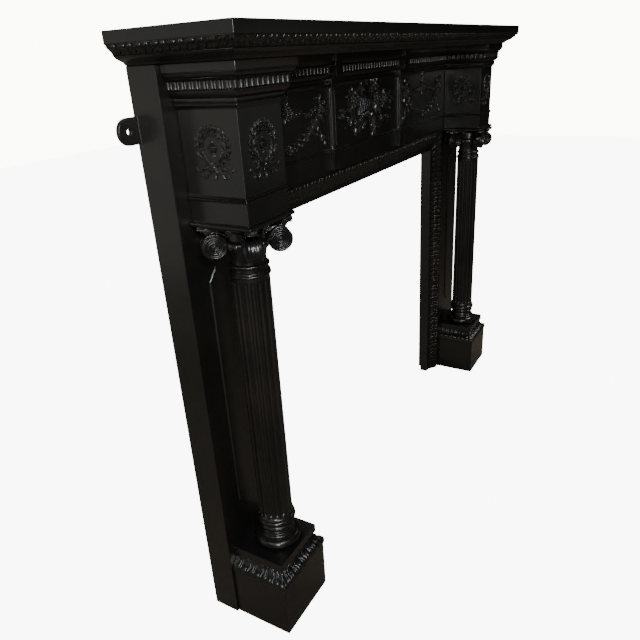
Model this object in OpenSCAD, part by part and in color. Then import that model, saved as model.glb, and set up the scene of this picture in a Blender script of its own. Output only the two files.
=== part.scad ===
// Cast-iron fireplace surround with fluted columns, end blocks and a plain shelf.
// Millimetres. +X runs along the shelf, -Y faces the room, +Z is up.
// The origin is on the floor, midway between the jambs and midway from the wall to the shelf's
// front edge. The modules are drawn with the wall on y = 0, and in_place() moves them there.

/* [Shelf] */
// Length of the shelf, end to end
shelf_w = 1500; // [1250:10:1800]
// Depth of the shelf from the wall to its front edge
shelf_d = 240; // [225:1:300]
// Height of the plain square edge of the shelf
fascia_h = 19; // [14:1:26]
// Height of the leaf-carved ogee under the edge
shelf_leaf_h = 16; // [12:1:20]
// Height of the plain bed moulding under the leaf band
bed_h = 14; // [10:1:20]
// How far the shelf stands out past the jambs at each end
shelf_overhang = 35; // [28:1:45]

/* [Jambs] */
// Width of each jamb, from its outer side to the fire opening
jamb_w = 225; // [215:1:290]
// Depth of the jambs and of the frieze behind the columns
jamb_d = 61; // [54:1:75]
// Radius of the rounded fixing lug at the back of each jamb
lug_r = 21; // [17:1:26]
// Thickness of the fixing lug
lug_t = 8; // [6:1:12]
// Diameter of the screw hole in the lug
lug_hole_d = 9; // [6:0.5:12]
// Distance from the underside of the shelf down to the lug holes
lug_drop = 94; // [80:1:300]

/* [Fire opening] */
// Height of the fire opening
opening_h = 817; // [700:1:1000]
// Width of the plain lip round the opening
lip_w = 12; // [8:1:18]
// Width of the leaf-carved ogee round the opening
frame_leaf_w = 41; // [32:1:48]
// How far the lip lies behind the top of the leaf-carved ogee
frame_rise = 21; // [14:1:26]
// How far the leaf-carved ogee stands out of the jamb's face
frame_proud = 5; // [3:1:8]
// Depth of the rebate behind the lip, which takes the edge of an insert
rebate_d = 18; // [12:1:26]
// Width of that rebate, outward from the opening
rebate_w = 30; // [20:1:36]

/* [Entablature] */
// Plain step between the opening's frame and the architrave
frame_gap = 7; // [4:1:12]
// Height of the plain architrave
architrave_h = 37; // [28:1:48]
// Diameter of each of the two beads over the architrave
bead_d = 4; // [3:0.5:6]
// Height of the plain frieze face
frieze_h = 132; // [110:1:170]
// Height of the cove and fillets on top of the frieze
cove_h = 18; // [14:1:24]
// Height of the convex moulding under the tongues
ovolo_h = 12; // [9:1:15]
// Height of the row of tongues
tongue_h = 13; // [9:1:17]
// Distance from one tongue to the next
tongue_pitch = 14.4; // [12:0.1:18]
// Diameter of each tongue
tongue_d = 8.8; // [6:0.2:11]
// Height from the tongues to the underside of the corona
neck_mould_h = 11; // [8:1:15]
// Height of the plain corona under the shelf
corona_h = 14; // [10:1:20]
// How far the corona stands out past the frieze face
corona_out = 24; // [20:1:30]

/* [End blocks] */
// Width of each end block
block_w = 118; // [105:1:130]
// How far the end blocks stand out in front of the frieze
block_d = 118; // [110:1:130]
// Distance from the outer side of the jamb to the end block
block_inset = 33; // [28:1:42]
// Height of the moulding under each end block
foot_mould_h = 8; // [6:1:12]

/* [Columns] */
// Radius of the shaft at its foot
shaft_r = 35.5; // [31:0.5:38]
// Radius of the shaft under its neck ring
shaft_top_r = 34.5; // [30:0.5:37]
// Number of flutes round the shaft
flutes = 18; // [16:1:24]
// Distance from the face of the jamb to the column's axis
column_out = 67; // [62:1:74]
// Height of the moulded base
base_h = 71; // [60:1:84]
// Height of the capital
capital_h = 84; // [76:1:96]
// Half the width of the abacus, from the axis to a corner along one side
abacus_half = 63; // [58:1:68]
// Thickness of the abacus
abacus_h = 9; // [7:1:12]
// Outer radius of a volute
volute_r = 19.5; // [17:0.5:22]

/* [Pedestals] */
// Width of the pedestal block
pedestal_w = 158; // [146:1:165]
// How far the pedestal stands out in front of the jamb
pedestal_d = 133; // [124:1:150]
// Height of the plain pedestal block
pedestal_h = 120; // [90:1:160]
// Height of the leaf-carved slope over the block
pedestal_leaf_h = 36; // [28:1:44]
// How far the leaf-carved slope draws in
pedestal_leaf_in = 19; // [16:1:22]
// Height of the square plinth under the column
plinth_h = 19; // [14:1:26]
// How far the plinth is set in from the pedestal block
plinth_in = 11; // [8:1:14]

/* [Frieze colonnettes] */
// Distance between the two slim colonnettes on the frieze
colonnette_gap = 378; // [300:2:460]
// Radius of a colonnette's shaft
colonnette_r = 11; // [9:0.5:13]
// Width of a colonnette's blocks
colonnette_block_w = 30; // [26:1:34]

/* [Hidden] */
$fn = 64;

iron = "#1b1a18";
iron_worn = "#24221f";

// Levels, from the floor up
frame_w = lip_w + frame_leaf_w;
architrave_z = opening_h + frame_w + frame_gap;
frieze_z = architrave_z + architrave_h + 2 * bead_d;
cove_z = frieze_z + frieze_h;
ovolo_z = cove_z + cove_h;
tongue_z = ovolo_z + ovolo_h;
neck_mould_z = tongue_z + tongue_h;
corona_z = neck_mould_z + neck_mould_h;
shelf_z = corona_z + corona_h;
lug_z = shelf_z - lug_drop;
plinth_z = pedestal_h + pedestal_leaf_h;
base_z = plinth_z + plinth_h;
shaft_z = base_z + base_h;
capital_top_z = architrave_z - foot_mould_h;
capital_z = capital_top_z - capital_h;
shaft_h = capital_z - shaft_z;

// Places across the width
jamb_x = shelf_w / 2 - shelf_overhang;
opening_x = jamb_x - jamb_w;
block_x = jamb_x - block_inset - block_w / 2;
block_inner_x = block_x - block_w / 2;
pedestal_x = jamb_x - 5 - pedestal_w / 2;
column_x = block_x + 3;
column_y = -jamb_d - column_out;

// How far the parts of the entablature stand out past its face
cove_out = 6;
ovolo_out = 14;
tongue_bed_out = 9;
fillet_out = 17;
neck_out = 22;
// Smooth S-curve from 0 to 1, in steps
ogee_steps = 10;
function ogee(t) = t - sin(360 * t) / 9;

// ---- Entablature section: x is how far it stands out, y is the height ----

module course(reach, out, z, h) {
    translate([-reach, z])
        square([reach + out, h]);
}

// Section of the frieze and its mouldings, reaching back by the given depth
module entablature_section(reach) {
    course(reach, 0, architrave_z, corona_z - architrave_z);
    bead_centre = 0.6;
    course(reach, bead_centre, architrave_z + architrave_h, 2 * bead_d);
    for (i = [0, 1])
        translate([bead_centre, architrave_z + architrave_h + bead_d * (i + 0.5)])
            circle(d = bead_d);
    difference() {
        course(reach, cove_out, cove_z, cove_h);
        translate([cove_out, cove_z])
            circle(r = cove_out);
        translate([cove_out - 2, cove_z + cove_h * 0.55])
            square([cove_out, 2]);
    }
    intersection() {
        course(reach, ovolo_out, ovolo_z, ovolo_h);
        union() {
            translate([ovolo_out - ovolo_h, tongue_z])
                circle(r = ovolo_h);
            course(reach, ovolo_out - ovolo_h, ovolo_z, ovolo_h);
        }
    }
    course(reach, tongue_bed_out, tongue_z, tongue_h);
    course(reach, fillet_out, neck_mould_z, 3);
    intersection() {
        course(reach, neck_out, neck_mould_z, neck_mould_h);
        union() {
            translate([neck_out - neck_mould_h + 3, corona_z])
                circle(r = neck_mould_h - 3);
            course(reach, neck_out - neck_mould_h + 3, neck_mould_z, neck_mould_h);
        }
    }
    course(reach, corona_out, corona_z, corona_h);
}

// A section run along X, standing out toward -Y from y = 0
module front_run(length) {
    translate([-length / 2, 0, 0])
        mirror([0, 1, 0])
            rotate([90, 0, 90])
                linear_extrude(length)
                    children();
}

// A section run along Y, from y = 0 toward -Y
module side_run(depth) {
    rotate([90, 0, 0])
        linear_extrude(depth)
            children();
}

// A row of upright round-fronted tongues, centred on x = 0
module tongue_row(length, y) {
    count = max(2, round(length / tongue_pitch));
    pitch = length / count;
    for (i = [0 : count])
        translate([(i - count / 2) * pitch, y, tongue_z])
            cylinder(d = tongue_d, h = tongue_h);
}

// ---- Shelf ----

// Outline of the shelf's edge, from the bottom up; x is measured from the shelf's own edge
leaf_in = 15;
shelf_edge = concat(
    [[-shelf_overhang, 0]],
    [for (i = [0 : ogee_steps])
        let (t = i / ogee_steps)
        [-shelf_overhang + (shelf_overhang - leaf_in) * ogee(t), bed_h * t]],
    [for (i = [0 : ogee_steps])
        let (t = i / ogee_steps)
        [-leaf_in + 1 + (leaf_in - 3) * ogee(t), bed_h + shelf_leaf_h * t]],
    [[0, bed_h + shelf_leaf_h], [0, bed_h + shelf_leaf_h + fascia_h]]
);

// An edge outline closed by a straight back, as far behind the edge as given
module edge_section(edge, reach) {
    polygon(concat(edge, [[-reach, edge[len(edge) - 1].y], [-reach, edge[0].y]]));
}

// The same edge on both sides of a piece of the given width, centred on x = 0
module both_edges(edge, width) {
    last = len(edge) - 1;
    polygon(concat(
        [for (p = edge) [width / 2 + p.x, p.y]],
        [for (i = [last : -1 : 0]) [-width / 2 - edge[i].x, edge[i].y]]
    ));
}

module mantel_shelf() {
    color(iron)
        translate([0, 0, shelf_z])
            intersection() {
                translate([0, -shelf_d, 0])
                    front_run(shelf_w)
                        edge_section(shelf_edge, shelf_d);
                side_run(shelf_d)
                    both_edges(shelf_edge, shelf_w);
            }
}

// ---- End blocks ----

module foot_section(reach) {
    foot_out = 8;
    z = architrave_z - foot_mould_h;
    course(reach, foot_out - foot_mould_h / 2, z, foot_mould_h);
    translate([foot_out - foot_mould_h / 2, z + foot_mould_h / 2])
        circle(d = foot_mould_h);
}

// One end block about x = 0, with its back on y = 0
module block_shape() {
    full = block_w + 2 * corona_out;
    intersection() {
        translate([0, -block_d, 0])
            front_run(full) {
                entablature_section(block_d);
                foot_section(block_d);
            }
        side_run(block_d + corona_out)
            for (side = [-1, 1])
                scale([side, 1])
                    translate([block_w / 2, 0]) {
                        entablature_section(block_w / 2 + 1);
                        foot_section(block_w / 2 + 1);
                    }
    }
}

module block_tongues() {
    stand = tongue_bed_out + 1;
    front = block_w + 2 * stand;
    tongue_row(front, -block_d - stand);
    for (side = [-1, 1])
        translate([side * (block_w / 2 + stand), -(block_d + stand) / 2, 0])
            rotate([0, 0, 90])
                intersection() {
                    tongue_row(block_d + stand, 0);
                    translate([-block_d / 2 - stand / 2, -tongue_d, 0])
                        cube([block_d + stand + tongue_d, 2 * tongue_d, shelf_z]);
                }
}

module end_block(side) {
    color(iron)
        translate([side * block_x, -jamb_d, 0])
            intersection() {
                union() {
                    block_shape();
                    block_tongues();
                }
                translate([-block_w, -block_d - corona_out, 0])
                    cube([2 * block_w, block_d + corona_out, shelf_z]);
            }
}

// ---- Jambs and frieze, with the carved frame of the opening ----

// The frame's section: x runs outward from the opening, y stands toward the room
module frame_section() {
    lip_y = jamb_d + frame_proud - frame_rise;
    polygon(concat(
        [[rebate_w, 0], [rebate_w, rebate_d], [0, rebate_d], [0, lip_y], [lip_w, lip_y]],
        [for (i = [1 : ogee_steps])
            let (t = i / ogee_steps)
            [lip_w + frame_leaf_w * t, lip_y + frame_rise * ogee(t)]],
        [[frame_w, 0]]
    ));
}

module on_side(side) {
    mirror([side < 0 ? 1 : 0, 0, 0])
        children();
}

// Upright length of the frame beside the opening, on the right
module frame_upright(z, h) {
    translate([opening_x, 0, z])
        mirror([0, 1, 0])
            linear_extrude(h)
                frame_section();
}

// Length of the frame across the head of the opening
module frame_head() {
    reach = opening_x + frame_w;
    translate([-reach, 0, opening_h])
        rotate([90, 0, 90])
            linear_extrude(2 * reach)
                mirror([1, 0])
                    rotate([0, 0, 90])
                        mirror([0, 1])
                            frame_section();
}

module lug() {
    translate([jamb_x, 0, lug_z])
        rotate([90, 0, 0])
            linear_extrude(lug_t)
                difference() {
                    union() {
                        translate([lug_r, 0])
                            circle(r = lug_r);
                        translate([-1, -lug_r])
                            square([lug_r + 1, 2 * lug_r]);
                    }
                    translate([lug_r, 0])
                        circle(d = lug_hole_d);
                }
}

// Pointed slip behind the column
module pointed_panel() {
    half = 21;
    z0 = shaft_z;
    z1 = capital_z;
    translate([column_x + 14, -jamb_d, 0])
        rotate([90, 0, 0])
            linear_extrude(3)
                polygon([[0, z0], [half, z0 + half * 1.2], [half, z1 - half * 1.2],
                         [0, z1], [-half, z1 - half * 1.2], [-half, z0 + half * 1.2]]);
}

module jamb(side) {
    plain_x = opening_x + frame_w;
    color(iron)
        on_side(side)
            union() {
                frame_upright(0, opening_h);
                translate([plain_x, -jamb_d, 0])
                    cube([jamb_x - plain_x, jamb_d, opening_h]);
                translate([block_inner_x, -jamb_d, 0])
                    cube([jamb_x - block_inner_x, jamb_d, shelf_z]);
                pointed_panel();
                lug();
            }
}

// Mouldings of the entablature between the end blocks
module frieze_run() {
    translate([0, -jamb_d, 0])
        front_run(2 * block_inner_x)
            entablature_section(jamb_d);
}

// Room taken up by the returns of the end blocks
module block_returns() {
    for (side = [-1, 1])
        translate([side * block_x, -jamb_d, 0]) {
            block_shape();
            block_tongues();
        }
}

module frieze_tongues() {
    gap = colonnette_gap / 2 - colonnette_block_w / 2;
    outer = block_inner_x - tongue_bed_out - tongue_d;
    y = -jamb_d - tongue_bed_out - 1;
    tongue_row(2 * gap - tongue_pitch, y);
    for (side = [-1, 1]) {
        inner = colonnette_gap / 2 + colonnette_block_w / 2;
        translate([side * (inner + outer) / 2, 0, 0])
            tongue_row(outer - inner - tongue_pitch, y);
    }
}

module frieze() {
    head_x = opening_x + frame_w;
    color(iron)
        union() {
            difference() {
                union() {
                    frieze_run();
                    frieze_tongues();
                }
                block_returns();
            }
            frame_head();
            for (side = [-1, 1])
                on_side(side) {
                    frame_upright(opening_h, frame_w);
                    translate([head_x, -jamb_d, opening_h])
                        cube([block_inner_x - head_x, jamb_d, frame_w]);
                }
            translate([-block_inner_x, -jamb_d, opening_h + frame_w])
                cube([2 * block_inner_x, jamb_d, frame_gap]);
        }
}

// ---- Colonnettes on the frieze ----

module colonnette_body() {
    w = colonnette_block_w;
    stand = colonnette_r + 1;
    shaft_foot = frieze_z + 3;
    cap = cove_z - 1;
    translate([-w / 2, -stand, architrave_z])
        cube([w, stand, architrave_h + 2 * bead_d]);
    translate([-w / 2 - 1.5, -stand - 1.5, frieze_z - 1])
        cube([w + 3, stand + 1.5, 4]);
    difference() {
        translate([0, 0, shaft_foot])
            cylinder(r = colonnette_r, h = cap - shaft_foot);
        for (a = [-50, 0, 50])
            rotate([0, 0, a])
                translate([0, -colonnette_r - 0.6, shaft_foot + 6])
                    cylinder(r = 2.6, h = cap - shaft_foot - 12);
    }
    translate([-w / 2, -stand - 2, cap])
        cube([w, stand + 2, ovolo_z - cap]);
    translate([-w / 2 - 1, -stand - 6, ovolo_z])
        cube([w + 2, stand + 6, 4]);
    translate([-w / 2 + 1, -corona_out - 2, ovolo_z + 4])
        cube([w - 2, corona_out + 2, corona_z - ovolo_z - 4]);
    translate([-w / 2, -corona_out - 5, corona_z])
        cube([w, corona_out + 5, corona_h]);
}

module colonnette(side) {
    color(iron_worn)
        difference() {
            translate([side * colonnette_gap / 2, -jamb_d, 0])
                intersection() {
                    colonnette_body();
                    translate([-colonnette_block_w, -2 * corona_out, 0])
                        cube([2 * colonnette_block_w, 2 * corona_out, shelf_z]);
                }
            frieze_run();
        }
}

// ---- Columns ----

module torus(r, z, thick) {
    rotate_extrude() {
        translate([r - thick / 2, z])
            circle(d = thick);
        translate([0, z - thick / 2])
            square([r - thick / 2, thick]);
    }
}

module ring_step(r, z0, z1) {
    translate([0, 0, z0])
        cylinder(r = r, h = z1 - z0);
}

// Attic base: a wide torus, two thin rings in the hollow, and a smaller torus
module column_base(side) {
    foot_r = shaft_r + 15;
    k = base_h / 71;
    color(iron)
        translate([side * column_x, column_y, base_z]) {
            torus(foot_r, 11 * k, 22 * k);
            ring_step(foot_r - 5, 20 * k, 24 * k);
            ring_step(shaft_r + 2, 24 * k, 60 * k);
            torus(shaft_r + 5, 31 * k, 4 * k);
            torus(shaft_r + 4, 45 * k, 4 * k);
            torus(shaft_r + 7, 57 * k, 11 * k);
            ring_step(shaft_r + 3, 60 * k, base_h);
        }
}

module column_shaft(side) {
    foot = 8;
    neck = 16;
    ring_h = 7;
    flute_r = PI * shaft_r / flutes * 0.78;
    lean = atan((shaft_r - shaft_top_r) / shaft_h);
    flute_h = shaft_h - foot - neck - ring_h - 2 * flute_r;
    color(iron_worn)
        translate([side * column_x, column_y, shaft_z]) {
            difference() {
                cylinder(r1 = shaft_r, r2 = shaft_top_r, h = shaft_h);
                for (i = [0 : flutes - 1])
                    rotate([0, 0, (i + 0.5) * 360 / flutes])
                        translate([0, -shaft_r - flute_r * 0.35, foot + flute_r])
                            rotate([-lean, 0, 0]) {
                                cylinder(r = flute_r, h = flute_h);
                                sphere(r = flute_r);
                                translate([0, 0, flute_h])
                                    sphere(r = flute_r);
                            }
            }
            torus(shaft_top_r + 2.2, shaft_h - 4, 5);
            torus(shaft_top_r + 1.2, shaft_h - 1.2, 2.4);
        }
}

// ---- Capitals ----

// Abacus: four hollowed sides and four blunt corners
module abacus_outline() {
    cut = 10;
    mid = abacus_half * 0.74;
    dip = abacus_half - mid;
    chord = abacus_half - cut;
    sweep_r = (chord * chord + dip * dip) / (2 * dip);
    difference() {
        rotate([0, 0, 45])
            intersection() {
                rotate([0, 0, 45])
                    square(2 * abacus_half, center = true);
                square(2 * (abacus_half * sqrt(2) - cut / sqrt(2)), center = true);
            }
        for (a = [0 : 90 : 270])
            rotate([0, 0, a])
                translate([0, mid + sweep_r])
                    circle(r = sweep_r, $fn = 96);
    }
}

// Raised spiral on the face of a volute
module spiral_ridge(h) {
    turns = 2.25;
    steps = 30;
    thick = 1.6;
    outer = volute_r - 0.4;
    function coil(t, d) = (outer * pow(0.2, t) - d) * [cos(360 * turns * t), sin(360 * turns * t)];
    linear_extrude(h)
        polygon(concat(
            [for (i = [0 : steps]) coil(i / steps, 0)],
            [for (i = [steps : -1 : 0]) coil(i / steps, thick)]
        ));
}

// One volute, its disc upright along the diagonal
module volute() {
    thick = 18;
    rotate([90, 0, 0])
        translate([0, 0, -thick / 2]) {
            cylinder(r = volute_r, h = thick);
            translate([0, 0, thick])
                spiral_ridge(1.6);
            mirror([0, 0, 1])
                spiral_ridge(1.6);
        }
}

module capital(side) {
    neck_r = shaft_top_r - 1.5;
    bell_r = volute_r + 25;
    volute_z = capital_h - abacus_h - volute_r - 11;
    reach = abacus_half * 0.66 * sqrt(2);
    lip_z = capital_h - abacus_h;
    color(iron_worn)
        translate([side * column_x, column_y, capital_z]) {
            cylinder(r = neck_r, h = 14);
            translate([0, 0, 12])
                cylinder(r1 = neck_r, r2 = bell_r, h = 30);
            translate([0, 0, 42])
                cylinder(r = bell_r, h = lip_z - 42);
            for (a = [45 : 90 : 315])
                rotate([0, 0, a]) {
                    translate([reach, 0, volute_z])
                        volute();
                    translate([reach - 8, -9, volute_z + volute_r - 6])
                        cube([24, 18, lip_z - volute_z - volute_r + 6]);
                }
            translate([0, 0, lip_z])
                linear_extrude(abacus_h)
                    abacus_outline();
        }
}

// ---- Pedestals ----

// Outline of the pedestal, from the floor up; x is measured from the plain block's face
pedestal_edge = concat(
    [[0, 0], [0, pedestal_h - 3], [2, pedestal_h]],
    [for (i = [1 : ogee_steps])
        let (t = i / ogee_steps)
        [2 - (pedestal_leaf_in + 2) * ogee(t), pedestal_h + pedestal_leaf_h * t]],
    [[-plinth_in, plinth_z], [-plinth_in, base_z]]
);

module pedestal(side) {
    grow = 2;
    color(iron)
        translate([side * pedestal_x, -jamb_d, 0])
            intersection() {
                translate([0, -pedestal_d, 0])
                    front_run(pedestal_w + 2 * grow)
                        edge_section(pedestal_edge, pedestal_d);
                side_run(pedestal_d + grow)
                    both_edges(pedestal_edge, pedestal_w);
            }
}

module in_place() {
    translate([0, shelf_d / 2, 0])
        children();
}

in_place() mantel_shelf();
in_place() frieze();
in_place() end_block(-1);  // end_block_left
in_place() end_block(1);  // end_block_right
in_place() jamb(-1);  // jamb_left
in_place() jamb(1);  // jamb_right
in_place() pedestal(-1);  // pedestal_left
in_place() pedestal(1);  // pedestal_right
in_place() column_base(-1);  // column_base_left
in_place() column_base(1);  // column_base_right
in_place() column_shaft(-1);  // column_shaft_left
in_place() column_shaft(1);  // column_shaft_right
in_place() capital(-1);  // capital_left
in_place() capital(1);  // capital_right
in_place() colonnette(-1);  // colonnette_left
in_place() colonnette(1);  // colonnette_right
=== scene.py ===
"""Cast-iron fireplace surround: fluted columns, carved frieze and leaf bands in black paint.

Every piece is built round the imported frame, in metres. +X runs along the shelf, -Y faces the
room and +Z is up. Sizes inside the carving classes are in millimetres of the casting, and MM
turns them into metres.
"""

import logging
import math
import random
from dataclasses import dataclass, field
from enum import Enum
from typing import Callable, Iterable, Sequence, Union

import bmesh
import bpy
from mathutils import Matrix, Vector
from mathutils.bvhtree import BVHTree


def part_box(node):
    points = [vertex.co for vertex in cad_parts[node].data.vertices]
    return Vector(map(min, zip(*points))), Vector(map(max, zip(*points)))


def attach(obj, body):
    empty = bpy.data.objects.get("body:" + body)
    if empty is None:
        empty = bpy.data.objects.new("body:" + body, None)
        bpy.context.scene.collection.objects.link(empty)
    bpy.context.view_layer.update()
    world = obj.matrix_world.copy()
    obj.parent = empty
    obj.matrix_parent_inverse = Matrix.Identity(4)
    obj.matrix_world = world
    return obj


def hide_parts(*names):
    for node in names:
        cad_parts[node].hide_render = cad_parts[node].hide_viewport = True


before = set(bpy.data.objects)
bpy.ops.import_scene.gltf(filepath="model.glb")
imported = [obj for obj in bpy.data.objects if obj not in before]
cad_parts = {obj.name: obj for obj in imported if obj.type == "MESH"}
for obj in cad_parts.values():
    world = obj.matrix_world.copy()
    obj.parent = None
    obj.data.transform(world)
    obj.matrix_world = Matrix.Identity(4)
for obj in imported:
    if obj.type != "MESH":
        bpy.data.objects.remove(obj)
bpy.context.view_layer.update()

LOG = logging.getLogger("surround")
MM = 0.001
ROOT = "root"
SIDES = {"left": -1.0, "right": 1.0}


class Slot(Enum):
    """The record's material slots."""

    PLAIN = "black_iron"
    CARVED = "black_iron_carved"


# ---- Small helpers on shapes ----------------------------------------------------------------


def blend(a: float, b: float, t: float) -> float:
    """Value the share t of the way from a to b."""
    return a + (b - a) * t


def ogee(t: float) -> float:
    """S-curve from 0 to 1, the one that the plain mouldings under the leaves follow."""
    return t - math.sin(math.tau * t) / 9


def bump(x: float, centre: float, width: float) -> float:
    """Bell curve of height 1 about a centre."""
    return math.exp(-(((x - centre) / width) ** 2))


def arc(centre: tuple[float, float], radius: float, start: float, end: float, steps: int) -> list:
    """Points on an arc.

    Args:
        centre: middle of the arc.
        radius: its radius.
        start: angle of the first point, in degrees.
        end: angle of the last point, in degrees.
        steps: number of steps between them.

    Returns:
        The points, as (x, y) pairs.
    """
    turns = [math.radians(blend(start, end, i / steps)) for i in range(steps + 1)]
    return [(centre[0] + radius * math.cos(a), centre[1] + radius * math.sin(a)) for a in turns]


def smooth_path(knots: Sequence[tuple[float, float]], steps: int) -> list[Vector]:
    """Smooth plane curve through a few chosen knots.

    Args:
        knots: points that the curve passes.
        steps: number of steps along the whole curve.

    Returns:
        Points along the curve.
    """
    ends = [knots[0], *knots, knots[-1]]
    spans = len(knots) - 1
    points = []
    for i in range(steps + 1):
        at = min(i / steps * spans, spans - 1e-6)
        k, t = int(at), at - int(at)
        p0, p1, p2, p3 = (Vector(ends[k + j]) for j in range(4))
        points.append(
            0.5 * (2 * p1 + (p2 - p0) * t + (2 * p0 - 5 * p1 + 4 * p2 - p3) * t * t
                   + (3 * p1 - p0 - 3 * p2 + p3) * t ** 3)
        )
    return points


def sheet(across: int, along: int, place: Callable[[float, float], Sequence[float]]) -> bmesh.types.BMesh:
    """Grid whose points go where a rule puts them.

    Args:
        across: faces along u.
        along: faces along v.
        place: rule from (u, v), each from 0 to 1, to a point.

    Returns:
        The new mesh.
    """
    bm = bmesh.new()
    bmesh.ops.create_grid(bm, x_segments=across, y_segments=along, size=0.5)
    for vert in bm.verts:
        vert.co = place(vert.co.x + 0.5, vert.co.y + 0.5)
    return bm


def close_back(bm: bmesh.types.BMesh, depth: float) -> bmesh.types.BMesh:
    """Closes an open relief by dropping its rim to a flat back.

    Args:
        bm: relief that faces +Z.
        depth: how far the back lies under z = 0.

    Returns:
        The same mesh, closed.
    """
    rim = [edge for edge in bm.edges if edge.is_boundary]
    made = bmesh.ops.extrude_edge_only(bm, edges=rim)["geom"]
    for vert in (item for item in made if isinstance(item, bmesh.types.BMVert)):
        vert.co.z = -depth
    bmesh.ops.holes_fill(bm, edges=[edge for edge in bm.edges if edge.is_boundary], sides=0)
    bmesh.ops.recalc_face_normals(bm, faces=bm.faces)
    return bm


def turned(profile: Sequence[tuple[float, float]], steps: int) -> bmesh.types.BMesh:
    """Solid of revolution about Z.

    Args:
        profile: outline as (radius, z) from one end of the axis to the other.
        steps: steps round the axis.

    Returns:
        The new mesh.
    """
    bm = bmesh.new()
    verts = [bm.verts.new((radius, 0, z)) for radius, z in profile]
    edges = [bm.edges.new(pair) for pair in zip(verts, verts[1:])]
    bmesh.ops.spin(
        bm, geom=verts + edges, cent=(0, 0, 0), axis=(0, 0, 1), angle=math.tau, steps=steps,
        use_merge=True,
    )
    bmesh.ops.remove_doubles(bm, verts=bm.verts, dist=1e-4)
    bmesh.ops.recalc_face_normals(bm, faces=bm.faces)
    return bm


def ball(radius: float, centre: Sequence[float], squash: float = 1.0) -> bmesh.types.BMesh:
    """Low round bead.

    Args:
        radius: radius across.
        centre: its middle.
        squash: height over width.

    Returns:
        The new mesh.
    """
    bm = bmesh.new()
    place = Matrix.Translation(centre) @ Matrix.Diagonal((1, 1, squash, 1))
    bmesh.ops.create_uvsphere(bm, u_segments=10, v_segments=6, radius=radius, matrix=place)
    return bm


class Stamp:
    """A shape that is made once and set in many places."""

    def __init__(self, *shapes: bmesh.types.BMesh) -> None:
        """Takes over the shapes, and frees them."""
        self.mesh = bpy.data.meshes.new("stamp")
        whole = bmesh.new()
        for shape in shapes:
            part = bpy.data.meshes.new("part")
            shape.to_mesh(part)
            shape.free()
            whole.from_mesh(part)
            bpy.data.meshes.remove(part)
        whole.to_mesh(self.mesh)
        whole.free()

    def press(self, target: bmesh.types.BMesh, place: Matrix) -> None:
        """Sets one copy.

        Args:
            target: mesh that takes the copy.
            place: where it goes. A mirroring matrix keeps the faces outward.
        """
        copy = self.mesh.copy()
        copy.transform(place)
        if place.determinant() < 0:
            copy.flip_normals()
        target.from_mesh(copy)
        bpy.data.meshes.remove(copy)

    def bend(self, target: bmesh.types.BMesh, rule: Callable[[Vector], Vector]) -> None:
        """Sets one copy whose every point goes through a rule.

        Args:
            target: mesh that takes the copy.
            rule: from a point of the stamp to a point of the target.
        """
        copy = self.mesh.copy()
        for vert in copy.vertices:
            vert.co = rule(vert.co)
        target.from_mesh(copy)
        bpy.data.meshes.remove(copy)


def flat_place(x: float, y: float, z: float = 0.0, turn: float = 0.0, size: float = 1.0) -> Matrix:
    """Place of a stamp on a flat panel.

    Args:
        x: distance across.
        y: distance up.
        z: distance out.
        turn: anticlockwise turn in degrees.
        size: scale.

    Returns:
        The matrix.
    """
    return (
        Matrix.Translation((x, y, z))
        @ Matrix.Rotation(math.radians(turn), 4, "Z")
        @ Matrix.Diagonal((size, size, size, 1))
    )


def on_face(origin: Sequence[float], out: Sequence[float]) -> Matrix:
    """Frame of an upright face: its x runs to the right, y up and z out, in millimetres.

    Args:
        origin: point on the face, in metres.
        out: direction that the face looks in.

    Returns:
        The matrix from panel millimetres to metres.
    """
    normal, up = Vector(out).normalized(), Vector((0, 0, 1))
    right = up.cross(normal)
    turn = Matrix((right, up, normal)).transposed().to_4x4()
    return Matrix.Translation(origin) @ turn @ Matrix.Diagonal((MM, MM, MM, 1))


MIRROR = Matrix.Diagonal((-1, 1, 1, 1))


# ---- Finishes -------------------------------------------------------------------------------

Colour = tuple[float, float, float]
Feed = Union[bpy.types.NodeSocket, float]


class NodeKit:
    """Short ways to lay out shader nodes."""

    def __init__(self, tree: bpy.types.NodeTree) -> None:
        """Works on one tree."""
        self.tree = tree

    def add(self, kind: str, **values: object) -> bpy.types.Node:
        """Adds a node.

        Args:
            kind: node type.
            values: attributes by name, or inputs by name with underscores for spaces.

        Returns:
            The new node.
        """
        node = self.tree.nodes.new(kind)
        for name, value in values.items():
            if hasattr(node, name):
                setattr(node, name, value)
            else:
                node.inputs[name.replace("_", " ")].default_value = value
        return node

    def link(self, start: bpy.types.NodeSocket, end: bpy.types.NodeSocket) -> None:
        """Joins two sockets."""
        self.tree.links.new(start, end)

    def ramp(self, value: bpy.types.NodeSocket, low: float, high: float) -> bpy.types.NodeSocket:
        """Clear step from 0 to 1 between two values.

        Args:
            value: the socket to read.
            low: value that gives 0.
            high: value that gives 1.

        Returns:
            The output socket.
        """
        node = self.add("ShaderNodeMapRange", interpolation_type="SMOOTHSTEP")
        node.inputs["From Min"].default_value = low
        node.inputs["From Max"].default_value = high
        self.link(value, node.inputs["Value"])
        return node.outputs["Result"]

    def math(self, operation: str, a: Feed, b: Feed) -> bpy.types.NodeSocket:
        """Arithmetic on two sockets or numbers.

        Args:
            operation: name of the operation.
            a: first socket or number.
            b: second socket or number.

        Returns:
            The output socket.
        """
        node = self.add("ShaderNodeMath", operation=operation)
        for socket, value in zip(node.inputs, (a, b)):
            if isinstance(value, bpy.types.NodeSocket):
                self.link(value, socket)
            else:
                socket.default_value = value
        return node.outputs["Value"]


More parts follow.
